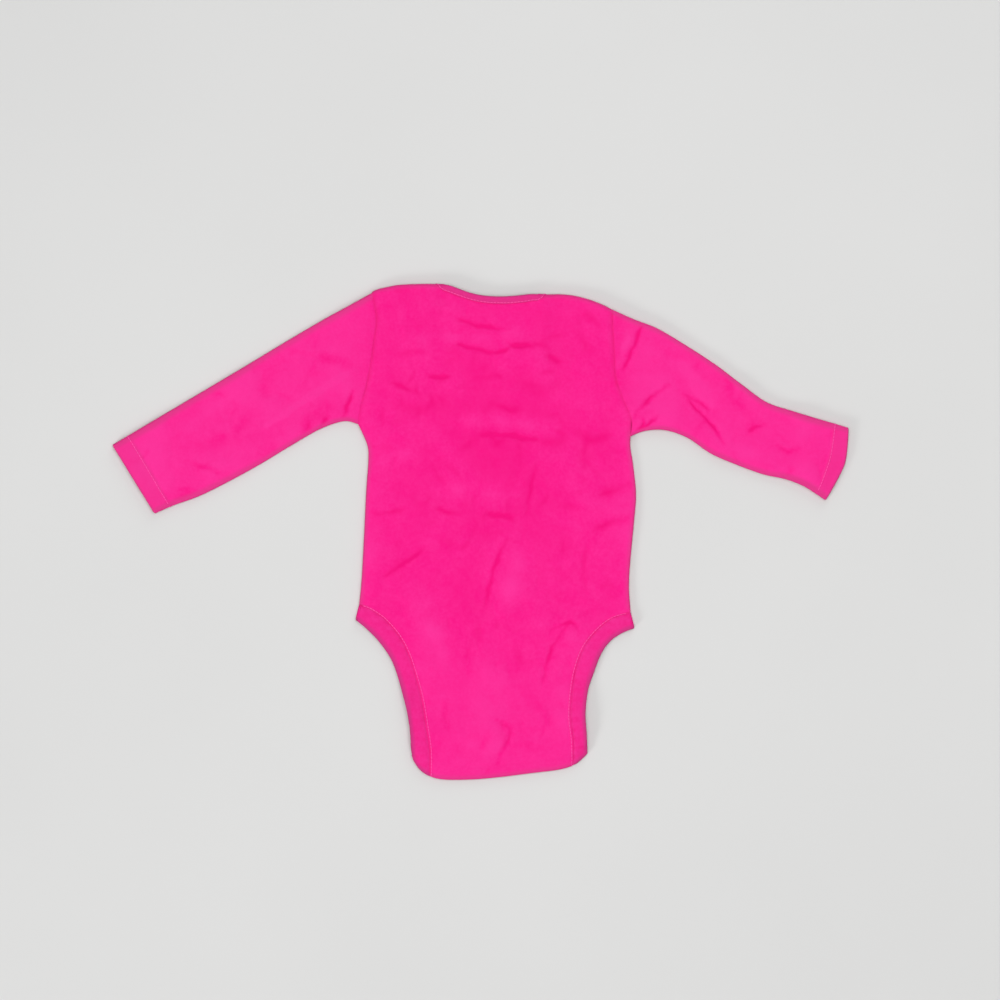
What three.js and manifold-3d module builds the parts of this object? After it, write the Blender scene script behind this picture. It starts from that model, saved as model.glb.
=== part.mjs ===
// A baby's long-sleeved bodysuit with lap shoulders and a snapped crotch, laid flat on its front.
// Millimetres, +Z up. The front lies on z = 0, the back faces up, and the neck points along +Y.
// Each piece of cloth is a sheet of points half-way through its wall, which is then thickened.
import * as THREE from "three";
import { mergeVertices } from "three/addons/utils/BufferGeometryUtils.js";
import Module from "manifold-3d";

const wasm = await Module();
wasm.setup();

// Walls, and the gap that sewn pieces keep
const CLOTH = 1.0; // single jersey
const PLACKET = 1.4; // the jersey turned under where the snaps are set
const BAND = 1.6; // a binding folded over the edge
const BAND_ROUND = 0.3; // how much a band is thinner at its edges
const HEM_INNER = 1.2; // a turned sleeve hem, inwards and outwards from the sleeve's middle line
const HEM_OUTER = 0.7;
const SEAM_GAP = 0.42; // between middle lines, which leaves about 0.3 between the faces
const HALF = CLOTH / 2;
const SEAM_SINK = 0.4; // how far a seam lies under the cloth around it

// Heights of the upper layer's middle line over the floor
const BODY_LEVEL = 3.4;
const SHOULDER_LEVEL = 5.0; // over the laps and the front's shoulders
const CROTCH_LEVEL = 6.1; // over both plackets and the snaps
const CUFF_LIFT = 0.9; // over the turned hems

// Heights under it
const LAP_LIFT = 2.1; // the front over the laps
const PLACKET_LIFT = 0.7; // the front's placket over the snap caps
const FLAP_LEVEL = 3.9; // the middle line of the back's end, turned under at the crotch

// The middle of the body, and how far the crotch's heights reach from it
const MIDDLE_X = 11;
const CROTCH_HALF_WIDTH = 95;

// The leg openings from the crotch fold up to the side seams: the band's edge and its seam.
// The first three rows are 20 mm apart.
const LEG = [
  { leftEdge: [-58.0, -187.5], leftSeam: [-43.4, -205.2], rightSeam: [79.3, -195.6], rightEdge: [88.8, -188.2] },
  { leftEdge: [-59.6, -173.0], leftSeam: [-43.4, -185.2], rightSeam: [79.0, -175.6], rightEdge: [88.5, -172.0] },
  { leftEdge: [-61.2, -158.0], leftSeam: [-46.2, -165.2], rightSeam: [76.8, -156.0], rightEdge: [88.2, -155.0] },
  { leftEdge: [-64.6, -140.0], leftSeam: [-50.7, -137.5], rightSeam: [77.8, -136.0], rightEdge: [91.0, -136.0] },
  { leftEdge: [-70.0, -121.0], leftSeam: [-58.2, -112.9], rightSeam: [81.3, -117.2], rightEdge: [95.3, -121.5] },
  { leftEdge: [-77.0, -106.0], leftSeam: [-67.3, -92.5], rightSeam: [88.5, -98.0], rightEdge: [102.4, -103.5] },
  { leftEdge: [-86.5, -92.8], leftSeam: [-79.8, -76.6], rightSeam: [100.0, -83.5], rightEdge: [110.5, -92.7] },
  { leftEdge: [-96.5, -82.6], leftSeam: [-91.5, -67.4], rightSeam: [113.0, -73.5], rightEdge: [120.5, -85.4] },
  { leftEdge: [-106.2, -74.6], leftSeam: [-103.0, -62.0], rightSeam: [127.6, -68.7], rightEdge: [130.0, -79.7] },
];
// The side seams from the leg openings up to the underarms
const SIDE = [
  { left: [-103.0, -62.0], right: [127.6, -68.7] },
  { left: [-101.2, -44.0], right: [126.2, -46.0] },
  { left: [-99.7, -20.0], right: [127.8, -20.0] },
  { left: [-98.3, 8.0], right: [130.5, 8.0] },
  { left: [-97.3, 35.0], right: [132.2, 31.0] },
  { left: [-96.2, 60.0], right: [129.8, 56.0] },
  { left: [-97.6, 76.0], right: [127.4, 71.0] },
  { left: [-105.8, 90.7], right: [127.5, 80.9] },
];
// The armhole seams from the underarms up to the shoulder tips
const ARMHOLE = [
  { left: [-105.8, 90.7], right: [127.5, 80.9] },
  { left: [-101.5, 108.0], right: [128.0, 95.0] },
  { left: [-96.5, 125.0], right: [120.4, 114.0] },
  { left: [-93.0, 143.0], right: [114.6, 132.0] },
  { left: [-90.4, 162.0], right: [113.6, 151.0] },
  { left: [-88.3, 183.0], right: [112.4, 171.0] },
  { left: [-88.8, 203.3], right: [111.8, 188.0] },
];
// The sleeves from the armhole to the cuff's end: the folded upper edge and the underarm edge
const LEFT_SLEEVE = [
  { upper: [-88.8, 203.3], under: [-105.8, 90.7] },
  { upper: [-112.0, 191.0], under: [-117.0, 93.4] },
  { upper: [-136.4, 177.8], under: [-136.0, 87.0] },
  { upper: [-168.0, 159.2], under: [-162.0, 72.2] },
  { upper: [-200.2, 139.8], under: [-187.4, 56.8] },
  { upper: [-236.0, 118.6], under: [-213.0, 42.7] },
  { upper: [-272.0, 97.3], under: [-238.5, 30.0] },
  { upper: [-296.5, 82.8], under: [-260.5, 22.0] },
  { upper: [-312.1, 73.6], under: [-276.1, 15.1] },
];
const RIGHT_SLEEVE = [
  { upper: [111.8, 188.0], under: [127.5, 80.9] },
  { upper: [130.0, 179.8], under: [140.0, 85.5] },
  { upper: [150.0, 172.0], under: [157.0, 86.0] },
  { upper: [175.0, 157.3], under: [176.0, 79.5] },
  { upper: [200.0, 141.0], under: [196.0, 66.0] },
  { upper: [222.0, 124.3], under: [218.0, 56.5] },
  { upper: [243.0, 109.5], under: [240.0, 48.5] },
  { upper: [265.0, 102.0], under: [259.0, 44.3] },
  { upper: [286.0, 95.6], under: [274.0, 38.5] },
  { upper: [298.5, 92.0], under: [283.0, 33.0] },
  { upper: [311.9, 88.0], under: [292.4, 26.5] },
];
// How far a cuff's end bulges between its corners, and its hem's depth as a share of the sleeve
const LEFT_CUFF = { bow: 0, hem: 0.115 };
const RIGHT_CUFF = { bow: 5.5, hem: 0.09 };

// The outermost reach of the crotch fold, where the back turns under
const CROTCH_FOLD = [
  [-60.0, -184.5], [-55.7, -195.5], [-48.0, -204.5], [-34.4, -209.4], [-8.9, -209.8], [16.6, -207.7],
  [42.1, -204.7], [67.6, -201.6], [80.3, -196.8], [90.0, -188.0],
];
// The same for the shoulder folds; the part between them is only a guide for the neck's curve
const SHOULDER_FOLD = [
  [-92.0, 201.6], [-81.2, 206.7], [-68.4, 209.3], [-47.2, 210.1], [-33.0, 209.7], [-10.0, 208.6], [12.0, 206.2],
  [35.0, 202.9], [52.3, 201.2], [67.6, 201.3], [80.3, 199.9], [93.1, 196.5], [105.8, 191.4], [115.0, 186.0],
];
// The neck seam of the back: on its upper side between the shoulder folds, and down its laps beneath
const BACK_NECK = [
  { on: "lap", x: -90.0, y: 158.0 },
  { on: "lap", x: -76.0, y: 172.0 },
  { on: "lap", x: -60.0, y: 186.5 },
  { on: "lap", x: -45.0, y: 198.5 },
  { on: "back", x: -32.7, y: 207.0 },
  { on: "back", x: -22.8, y: 201.6 },
  { on: "back", x: -12.3, y: 197.6 },
  { on: "back", x: 0.4, y: 194.6 },
  { on: "back", x: 15.0, y: 193.6 },
  { on: "back", x: 30.0, y: 194.4 },
  { on: "back", x: 43.0, y: 196.2 },
  { on: "back", x: 51.4, y: 198.4 },
  { on: "lap", x: 64.0, y: 191.0 },
  { on: "lap", x: 80.0, y: 177.0 },
  { on: "lap", x: 96.0, y: 162.0 },
  { on: "lap", x: 113.0, y: 145.0 },
];
// The neck seam of the front, which lies against the floor
const FRONT_NECK = [
  [-92.0, 193.5], [-76.0, 183.0], [-58.0, 169.5], [-35.0, 155.5], [-10.0, 148.5], [12.0, 146.5],
  [36.0, 148.5], [60.0, 155.0], [82.0, 166.5], [98.0, 174.5], [115.0, 178.0],
];
const NECK_BAND_WIDTH = 5.6;

// The crotch, in distances from its fold: the end of the front's placket, and the snaps' line
const PLACKET_END = 34;
const SNAP_LINE = 21;
const SNAP_SPACING = 38;
const SNAP_HOLE = 2.35;
// Profiles of a closed snap turned about its middle: distance from it, and height over the floor
const SNAP_SOCKET = [
  { out: 0, up: 0 },
  { out: 4.5, up: 0 },
  { out: 4.8, up: 0.2 },
  { out: 4.8, up: 0.5 },
  { out: 2.0, up: 0.5 },
  { out: 2.0, up: 2.3 },
  { out: 4.0, up: 2.3 },
  { out: 4.0, up: 3.0 },
  { out: 2.25, up: 3.0 },
  { out: 2.25, up: 2.55 },
  { out: 0, up: 2.55 },
];
const SNAP_STUD = [
  { out: 0, up: 2.75 },
  { out: 1.6, up: 2.75 },
  { out: 1.85, up: 3.0 },
  { out: 1.85, up: 4.75 },
  { out: 4.4, up: 4.75 },
  { out: 4.4, up: 5.0 },
  { out: 4.1, up: 5.2 },
  { out: 0, up: 5.2 },
];

// The largest creases: soft troughs (height under 0) and ridges from one end to the other
const CREASES = [
  { name: "neck", x1: -17, y1: 179, x2: 24, y2: 171, width: 6.5, height: -0.8 },
  { name: "upper back left", x1: -79, y1: 150, x2: -8, y2: 154, width: 6.5, height: -0.9 },
  { name: "upper back right", x1: 8, y1: 150, x2: 50, y2: 161, width: 7.0, height: -1.0 },
  { name: "upper back tail", x1: 50, y1: 160, x2: 66, y2: 143, width: 7.0, height: -0.6 },
  { name: "shoulder blade", x1: -74, y1: 125, x2: -24, y2: 129, width: 7.5, height: -0.6 },
  { name: "right shoulder", x1: 90, y1: 186, x2: 104, y2: 172, width: 6.5, height: -0.5 },
  { name: "middle back ridge", x1: -16, y1: 92, x2: 58, y2: 88, width: 8.0, height: 0.8 },
  { name: "middle back", x1: -4, y1: 80, x2: 54, y2: 76, width: 7.0, height: -0.9 },
  { name: "left side", x1: -85, y1: 58, x2: -58, y2: 66, width: 8.0, height: 0.7 },
  { name: "waist", x1: -40, y1: 21, x2: 42, y2: 12, width: 7.5, height: -0.9 },
  { name: "waist ridge", x1: -30, y1: 34, x2: 30, y2: 28, width: 9.0, height: 0.7 },
  { name: "right side upper", x1: 122, y1: 37, x2: 98, y2: 30, width: 7.0, height: -0.7 },
  { name: "right side lower", x1: 120, y1: 12, x2: 94, y2: 2, width: 7.0, height: -0.7 },
  { name: "left slant", x1: -78, y1: -36, x2: -48, y2: -16, width: 7.0, height: -0.9 },
  { name: "seat upright", x1: 18, y1: -8, x2: 5, y2: -55, width: 7.0, height: -0.9 },
  { name: "seat upright ridge", x1: 33, y1: -12, x2: 20, y2: -60, width: 8.0, height: 0.6 },
  { name: "seat right", x1: 72, y1: -78, x2: 55, y2: -120, width: 7.0, height: -0.8 },
  { name: "seat left", x1: -42, y1: -78, x2: -28, y2: -112, width: 8.0, height: 0.6 },
  { name: "left sleeve soft", x1: -144, y1: 146, x2: -116, y2: 140, width: 7.0, height: -0.8 },
  { name: "left sleeve ridge", x1: -118, y1: 134, x2: -170, y2: 101, width: 8.0, height: 1.0 },
  { name: "left underarm", x1: -133, y1: 106, x2: -131, y2: 96, width: 6.5, height: -0.8 },
  { name: "left elbow", x1: -152, y1: 102, x2: -147, y2: 90, width: 7.0, height: -0.7 },
  { name: "left forearm", x1: -248, y1: 56, x2: -226, y2: 50, width: 7.0, height: -0.7 },
  { name: "right sleeve head", x1: 137, y1: 168, x2: 121, y2: 137, width: 6.0, height: -1.0 },
  { name: "right sleeve middle", x1: 160, y1: 126, x2: 134, y2: 104, width: 6.0, height: -0.9 },
  { name: "right sleeve ridge", x1: 170, y1: 142, x2: 196, y2: 108, width: 8.0, height: 0.9 },
  { name: "right elbow", x1: 172, y1: 121, x2: 200, y2: 84, width: 6.5, height: -0.8 },
  { name: "right forearm", x1: 236, y1: 86, x2: 260, y2: 72, width: 7.0, height: -0.6 },
];

// Where the rows and columns of points lie, as shares of their stretch. The front starts 9 mm and its
// placket and the back's flap end 34 mm from the crotch fold.
const LEG_SHARES = [
  0, 0.022, 0.044, 0.075, 0.12, 0.2, 0.206, 0.28, 0.36, 0.44, 0.52, 0.6, 0.68, 0.76, 0.83, 0.89, 0.945, 1,
];
const PLACKET_SHARES = { start: 0.044, end: 0.2 };
const FLAP_SHARES = [0.2, 0.12, 0.044, 0.033, 0.022, 0.011];
const SIDE_SHARES = [0.06, 0.16, 0.26, 0.36, 0.46, 0.56, 0.66, 0.76, 0.85, 0.93, 1];
const ARM_SHARES = [0.08, 0.16, 0.25, 0.36, 0.48, 0.61, 0.74, 0.87, 1]; // the sleeves have the same
const SLEEVE_SHARES = [0, 0.006, 0.02, 0.08, 0.15, 0.22, 0.29, 0.37, 0.45, 0.54, 0.63, 0.72, 0.81, 0.9, 1];
const SLEEVE_SINKS = [1, 0.5, 0.1];
const HEM_SHARES = [0, 0.5, 1];
const HEM_LEDGE = 0.004;
// The back's columns along the neck, close together where its seam turns over the shoulder folds
const NECK_SHARES = [
  0.07, 0.14, 0.195, 0.222, 0.238, 0.248, 0.258, 0.268, 0.29, 0.35, 0.42, 0.49, 0.56, 0.63, 0.69, 0.711, 0.721,
  0.731, 0.742, 0.765, 0.82, 0.88, 0.94,
];
const evenShares = (count) => Array.from({ length: count }, (_, i) => (i + 1) / (count + 1));
const FRONT_SHARES = evenShares(12);
// The columns at a body panel's edge: flat distances from it and shares of the seam's sink
const EDGE_COLUMNS = [
  { away: 0, sink: 1 },
  { away: 1.2, sink: 0.5 },
  { away: 2.8, sink: 0.1 },
  { away: 5, sink: 0 },
];
// The points across a band, from its seam to its edge
const BAND_COLUMNS = [
  { across: 0, thinner: 1 },
  { across: 0.22, thinner: 0 },
  { across: 0.78, thinner: 0 },
  { across: 1, thinner: 1 },
];
const FOLD_STEPS = 4;
const LAP_STEPS = 7;
const SNAP_SIDES = 12;

const { lerp, clamp, smoothstep } = THREE.MathUtils;

// A smooth curve through [x, y] points, read by share from 0 to 1 and moved to the left of its direction
function curveThrough(points) {
  const curve = new THREE.SplineCurve(points.map(([x, y]) => new THREE.Vector2(x, y)));
  return (share, moved = 0) => {
    const point = curve.getPoint(share);
    const along = curve.getTangent(share);
    return { x: point.x - along.y * moved, y: point.y + along.x * moved };
  };
}

// A smooth curve as a function from one coordinate, which always grows, to the other
function graph(points, from = "x", to = "y") {
  const STEPS = 300;
  const at = curveThrough(points);
  const samples = Array.from({ length: STEPS + 1 }, (_, i) => at(i / STEPS));
  return (value) => {
    const known = clamp(value, samples[0][from], samples[STEPS][from]);
    const i = Math.max(1, samples.findIndex((sample) => sample[from] >= known));
    const [a, b] = [samples[i - 1], samples[i]];
    return lerp(a[to], b[to], (known - a[from]) / (b[from] - a[from]));
  };
}

const column = (table, name) => table.map((row) => row[name]);
const curves = (table, ...names) =>
  Object.fromEntries(names.map((name) => [name, curveThrough(column(table, name))]));
const legLine = curves(LEG, "leftEdge", "leftSeam", "rightSeam", "rightEdge");
const sideLine = curves(SIDE, "left", "right");
const armLine = curves(ARMHOLE, "left", "right");
const armX = {
  left: graph(column(ARMHOLE, "left"), "y", "x"),
  right: graph(column(ARMHOLE, "right"), "y", "x"),
};
const crotchFoldY = graph(CROTCH_FOLD);
const shoulderFoldY = graph(SHOULDER_FOLD);
const frontNeckY = graph(FRONT_NECK);

// How much of a crease is felt at a point: a soft hump across its line that fades past its ends
function creaseHeight({ x1, y1, x2, y2, width, height }, x, y) {
  const length = Math.hypot(x2 - x1, y2 - y1);
  const along = ((x - x1) * (x2 - x1) + (y - y1) * (y2 - y1)) / length;
  const across = ((y - y1) * (x2 - x1) - (x - x1) * (y2 - y1)) / length;
  const past = Math.max(0, -along, along - length);
  return height * Math.exp(-((across / width) ** 2) - (past / (2 * width)) ** 2);
}

// Height of the upper layer's middle line anywhere on the garment
function upperZ(x, y) {
  const aside = Math.abs(x - MIDDLE_X);
  const fromFold = y - crotchFoldY(x);
  const shoulders = (1 - smoothstep(shoulderFoldY(x) - y, 50, 92)) * (1 - smoothstep(aside, 112, 165));
  const crotch = smoothstep(fromFold, 2, 13) * (1 - smoothstep(fromFold, 36, 64));
  const cuffs = smoothstep(aside, 225, 270);
  const creases = CREASES.reduce((sum, crease) => sum + creaseHeight(crease, x, y), 0);
  return (
    BODY_LEVEL +
    (SHOULDER_LEVEL - BODY_LEVEL) * shoulders +
    (aside < CROTCH_HALF_WIDTH ? (CROTCH_LEVEL - BODY_LEVEL) * crotch : 0) +
    CUFF_LIFT * cuffs +
    creases
  );
}

// Radius of the middle line's turn from the upper layer down to a lower one
const turnRadius = (upper, lower) => (upper - lower) / 2;
// Height part-way round such a turn
const turnZ = (upper, lower, angle) => lerp(lower, upper, (1 + Math.cos(angle)) / 2);

// The start of the crotch fold's turn on the upper layer
const CROTCH_RADIUS = turnRadius(BODY_LEVEL, HALF);
const crotchStartY = (x) => crotchFoldY(x) + HALF + CROTCH_RADIUS;

// Near the crotch, rows are bent from straight lines to the fold's shape
function crotchShift(x, share) {
  const { leftEdge, leftSeam, rightSeam, rightEdge } = LEG[0];
  const ends = [leftEdge, leftSeam, rightSeam, rightEdge];
  const i = x < leftSeam[0] ? 1 : x < rightSeam[0] ? 2 : 3;
  const [a, b] = [ends[i - 1], ends[i]];
  const straight = lerp(a[1], b[1], (x - a[0]) / (b[0] - a[0]));
  return (1 - smoothstep(share, 0.25, 0.6)) * (crotchStartY(x) - straight);
}

// A place between the armhole seams, by its share of the way across
const acrossArmholes = (share, y) =>
  lerp(armX.left(y) + SEAM_GAP / 2, armX.right(y) - SEAM_GAP / 2, share);

// The turn over a shoulder fold: reach is the distance along the cloth past the turn's start
const SHOULDER_RADIUS = turnRadius(SHOULDER_LEVEL, HALF);
const LAP_START = Math.PI * SHOULDER_RADIUS;
const shoulderStartY = (x) => shoulderFoldY(x) - HALF - SHOULDER_RADIUS;

function overShoulder(share, reach, underZ) {
  const start = shoulderStartY(acrossArmholes(share, shoulderFoldY(MIDDLE_X)));
  const angle = clamp(reach / SHOULDER_RADIUS, 0, Math.PI);
  const y = start + SHOULDER_RADIUS * Math.sin(angle) + Math.min(reach, 0) - Math.max(reach - LAP_START, 0);
  const x = acrossArmholes(share, y);
  return { x, y, z: turnZ(upperZ(x, Math.min(y, start)), underZ, angle) };
}

// The back's neck seam as a reach, and how much its slant lengthens a step across it
const neckReach = graph(
  BACK_NECK.map(({ on, x, y }) => {
    const past = y - shoulderStartY(x);
    return [x, on === "back" ? past : LAP_START - past];
  }),
);
const slant = (curve, x) => Math.hypot(1, (curve(x + 1) - curve(x - 1)) / 2);

// Height of the front's underside: raised over the laps and over the snap caps
function frontFloor(x, y) {
  const reach = neckReach(x) + NECK_BAND_WIDTH * slant(neckReach, x);
  const lapEnd = shoulderStartY(x) + LAP_START - reach;
  const overLap = reach > LAP_START ? LAP_LIFT * smoothstep(y, lapEnd - 32, lapEnd - 12) : 0;
  const overSnaps = 1 - smoothstep(y - crotchFoldY(x), PLACKET_END + 2, PLACKET_END + 20);
  return overLap + (Math.abs(x - MIDDLE_X) < CROTCH_HALF_WIDTH ? PLACKET_LIFT * overSnaps : 0);
}

// Height of the middle line of the back's end, turned under at the crotch
const flapZ = (x, y, half) => lerp(half, FLAP_LEVEL, smoothstep(y - crotchFoldY(x), 1.5, 9.5));

const walled = (point, outer, inner = outer) => ({ ...point, outer, inner });

// Turns a sheet of middle points and its quads into a closed wall.
// A point's outer and inner are its distances to the two faces. Quads turn anticlockwise from outside.
function thicken({ points, quads }) {
  const places = new Map();
  const merged = [];
  const place = points.map((point) => {
    const key = [point.x, point.y, point.z].map((value) => value.toFixed(3)).join(" ");
    if (!places.has(key)) places.set(key, merged.push(point) - 1);
    return places.get(key);
  });
  const triangles = quads
    .map((quad) => quad.map((i) => place[i]))
    .flatMap(([a, b, c, d]) => [[a, b, c], [a, c, d]])
    .filter(([a, b, c]) => a !== b && b !== c && a !== c);
  const middle = merged.map(({ x, y, z }) => new THREE.Vector3(x, y, z));
  const normals = middle.map(() => new THREE.Vector3());
  const edges = new Map();
  for (const [a, b, c] of triangles) {
    const face = new THREE.Vector3().subVectors(middle[b], middle[a]);
    face.cross(new THREE.Vector3().subVectors(middle[c], middle[a]));
    for (const i of [a, b, c]) normals[i].add(face);
    for (const [i, j] of [[a, b], [b, c], [c, a]]) {
      if (!edges.delete(`${j} ${i}`)) edges.set(`${i} ${j}`, [i, j]);
    }
  }
  const count = middle.length;
  const positions = new Float32Array(count * 6);
  merged.forEach(({ outer, inner }, i) => {
    const normal = normals[i].normalize();
    middle[i].clone().addScaledVector(normal, outer).toArray(positions, i * 3);
    middle[i].clone().addScaledVector(normal, -inner).toArray(positions, (count + i) * 3);
  });
  const index = triangles.flatMap(([a, b, c]) => [a, b, c, count + a, count + c, count + b]);
  for (const [i, j] of edges.values()) index.push(i, count + i, count + j, i, count + j, j);
  const geometry = new THREE.BufferGeometry();
  geometry.setAttribute("position", new THREE.BufferAttribute(positions, 3));
  geometry.setIndex(index);
  return geometry;
}

// Quads over rows of points, each row open or closed to a ring, added to a sheet
function addBlock(sheet, rows, ring = false) {
  const start = sheet.points.length;
  const width = rows[0].length;
  sheet.points.push(...rows.flat());
  for (let j = 0; j + 1 < rows.length; j += 1) {
    for (let i = 0; i < (ring ? width : width - 1); i += 1) {
      const next = (i + 1) % width;
      const low = start + j * width;
      sheet.quads.push([low + i, low + next, low + width + next, low + width + i]);
    }
  }
  return sheet;
}

const newSheet = () => ({ points: [], quads: [] });
const reversed = (rows) => rows.map((row) => row.toReversed());

// The points near one end of a row. bend is 1 where the edge curls to meet the other panel.
function edgePoints(end, inwards, bend, inset) {
  const radius = turnRadius(upperZ(end.x + inwards * 3, end.y), HALF);
  return EDGE_COLUMNS.map(({ away, sink }, k) => {
    const angle = (k / (EDGE_COLUMNS.length - 1)) * (Math.PI / 2);
    const curlAway = HALF + radius * (1 - Math.cos(angle));
    const curlDrop = radius * (1 - Math.sin(angle)) - (k === 0 ? SEAM_GAP : 0);
    return {
      x: end.x + inwards * lerp(inset + away, curlAway, bend),
      drop: lerp(SEAM_SINK * sink, curlDrop, bend),
    };
  });
}

// One row of points across the body. turn is 1 for the panel that curls down and -1 for the other.
function bodyRow({ left, right, bend, inset, shares, level, shift, turn, half }) {
  const lefts = edgePoints(left, 1, bend, inset);
  const rights = edgePoints(right, -1, bend, inset).toReversed();
  const [start, end] = [lefts.at(-1).x, rights[0].x];
  const middles = shares.map((share) => ({ x: lerp(start, end, share), drop: 0 }));
  return [...lefts, ...middles, ...rights].map(({ x, drop }) => {
    const y = lerp(left.y, right.y, (x - left.x) / (right.x - left.x)) + shift(x);
    return walled({ x, y, z: level(x, y) - turn * drop }, half);
  });
}

const legRow = (share, options) =>
  bodyRow({
    left: legLine.leftSeam(share, -SEAM_GAP / 2),
    right: legLine.rightSeam(share, SEAM_GAP / 2),
    bend: smoothstep(share, 0.93, 1),
    inset: 0,
    shift: (x) => crotchShift(x, share),
    ...options,
  });

const sideRow = (share, options) =>
  bodyRow({
    left: sideLine.left(share),
    right: sideLine.right(share),
    bend: 1 - smoothstep(share, 0.92, 1),
    inset: SEAM_GAP / 2,
    shift: () => 0,
    ...options,
  });

// A row between the armholes, bent by nearness towards the neck's shape
function armRow(share, neckY, nearness, options) {
  const tips = { left: armLine.left(1), right: armLine.right(1) };
  const straight = (x) => lerp(tips.left.y, tips.right.y, (x - tips.left.x) / (tips.right.x - tips.left.x));
  const row = bodyRow({
    left: armLine.left(share),
    right: armLine.right(share),
    bend: 0,
    inset: SEAM_GAP / 2,
    shift: (x) => nearness * (neckY(x) - straight(x)),
    ...options,
  });
  const [first, last] = [row[0].x, row.at(-1).x];
  return row.map((point) => {
    const across = (point.x - first) / (last - first);
    return { ...point, x: acrossArmholes(across, point.y), across };
  });
}

// The back from the end of its flap, round the crotch fold and up to the neck
function backRows() {
  const even = evenShares(NECK_SHARES.length);
  const upper = { shares: even, level: upperZ, turn: 1, half: HALF };
  const flapLevel = (x, y) => flapZ(x, y, HALF);
  const flap = FLAP_SHARES.map((share) => {
    const half = share >= PLACKET_SHARES.start ? PLACKET / 2 : HALF;
    return legRow(share, { ...upper, level: flapLevel, turn: 0, half });
  });
  const start = legRow(0, upper);
  const fold = Array.from({ length: FOLD_STEPS }, (_, k) => {
    const angle = (1 - k / FOLD_STEPS) * Math.PI;
    return start.map(({ x, y, z }) => {
      const turnedZ = turnZ(z, flapLevel(x, y), angle);
      return walled({ x, y: y - CROTCH_RADIUS * Math.sin(angle), z: turnedZ }, HALF);
    });
  });
  const leg = LEG_SHARES.slice(1).map((share) => legRow(share, upper));
  const side = SIDE_SHARES.map((share) => sideRow(share, upper));
  const neckY = (x) => {
    const reach = neckReach(x) - (SEAM_GAP / 2) * slant(neckReach, x);
    return shoulderStartY(x) + Math.min(0, reach);
  };
  const arm = ARM_SHARES.map((share) => {
    const shares = even.map((at, i) => lerp(at, NECK_SHARES[i], smoothstep(share, 0.2, 0.9)));
    return armRow(share, neckY, smoothstep(share, 0.3, 1), { ...upper, shares });
  });
  return [...flap, ...fold, start, ...leg, ...side, ...arm];
}

// The back's laps: its points past the shoulder folds, for each column whose neck seam lies beyond them
function lapRows(top) {
  const steps = Array.from({ length: LAP_STEPS }, (_, k) => k + 1);
  const rows = steps.map((step) =>
    top.map((point) => {
      const whole = lapReach(point);
      if (whole === 0) return point;
      const turned = Math.min((Math.min(step, FOLD_STEPS) / FOLD_STEPS) * LAP_START, (step / LAP_STEPS) * whole);
      const rest = clamp((step - FOLD_STEPS) / (LAP_STEPS - FOLD_STEPS), 0, 1);
      return walled(overShoulder(point.across, lerp(turned, whole, rest), HALF), HALF);
    }),
  );
  return [top, ...rows];
}

// How far the cloth goes on past a shoulder fold at a point of the back's top row, or 0
function lapReach({ x }) {
  const reach = neckReach(x) - SEAM_GAP * slant(neckReach, x);
  return reach > 0.1 ? reach : 0;
}

function backPanel() {
  const rows = backRows();
  const top = rows.at(-1);
  const laps = lapRows(top);
  const open = top.map((point) => lapReach(point) === 0);
  const sheet = addBlock(newSheet(), rows);
  addBlock(sheet, laps.map((row) => row.slice(0, open.indexOf(true) + 1)));
  addBlock(sheet, laps.map((row) => row.slice(open.lastIndexOf(true))));
  return thicken(sheet);
}

// A band's points across it, thinner at its two edges
function bandRow(place) {
  const half = BAND / 2;
  return BAND_COLUMNS.map(({ across, thinner }) => walled(place(across), half - BAND_ROUND * thinner, half));
}

// The back's neck binding, from one armhole over the shoulder fold, round the neck and back down
function backNeckBand() {
  const rows = backRows().at(-1).map(({ x, across: column }) =>
    bandRow((across) => {
      const step = lerp(SEAM_GAP / 2, NECK_BAND_WIDTH, across);
      return overShoulder(column, neckReach(x) + step * slant(neckReach, x), BAND / 2);
    }),
  );
  return thicken(addBlock(newSheet(), reversed(rows)));
}

// The front on the floor, from its placket up to its neck
function frontRows() {
  const layer = (half) => ({
    shares: FRONT_SHARES,
    level: (x, y) => frontFloor(x, y) + half,
    turn: -1,
    half,
  });
  const leg = LEG_SHARES.filter((share) => share >= PLACKET_SHARES.start).map((share) =>
    legRow(share, layer(share <= PLACKET_SHARES.end ? PLACKET / 2 : HALF)),
  );
  const side = SIDE_SHARES.map((share) => sideRow(share, layer(HALF)));
  const neckY = (x) => frontNeckY(x) - (SEAM_GAP / 2) * slant(frontNeckY, x);
  const arm = ARM_SHARES.map((share) => armRow(share, neckY, smoothstep(share, 0.15, 1), layer(HALF)));
  return [...leg, ...side, ...arm];
}

const frontPanel = () => thicken(addBlock(newSheet(), reversed(frontRows())));

function frontNeckBand() {
  const rows = frontRows().at(-1).map((point) =>
    bandRow((across) => {
      const y = frontNeckY(point.x) + slant(frontNeckY, point.x) * lerp(SEAM_GAP / 2, NECK_BAND_WIDTH, across);
      const x = acrossArmholes(point.across, y);
      return { x, y, z: frontFloor(x, y) + BAND / 2 };
    }),
  );
  return thicken(addBlock(newSheet(), rows));
}

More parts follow.
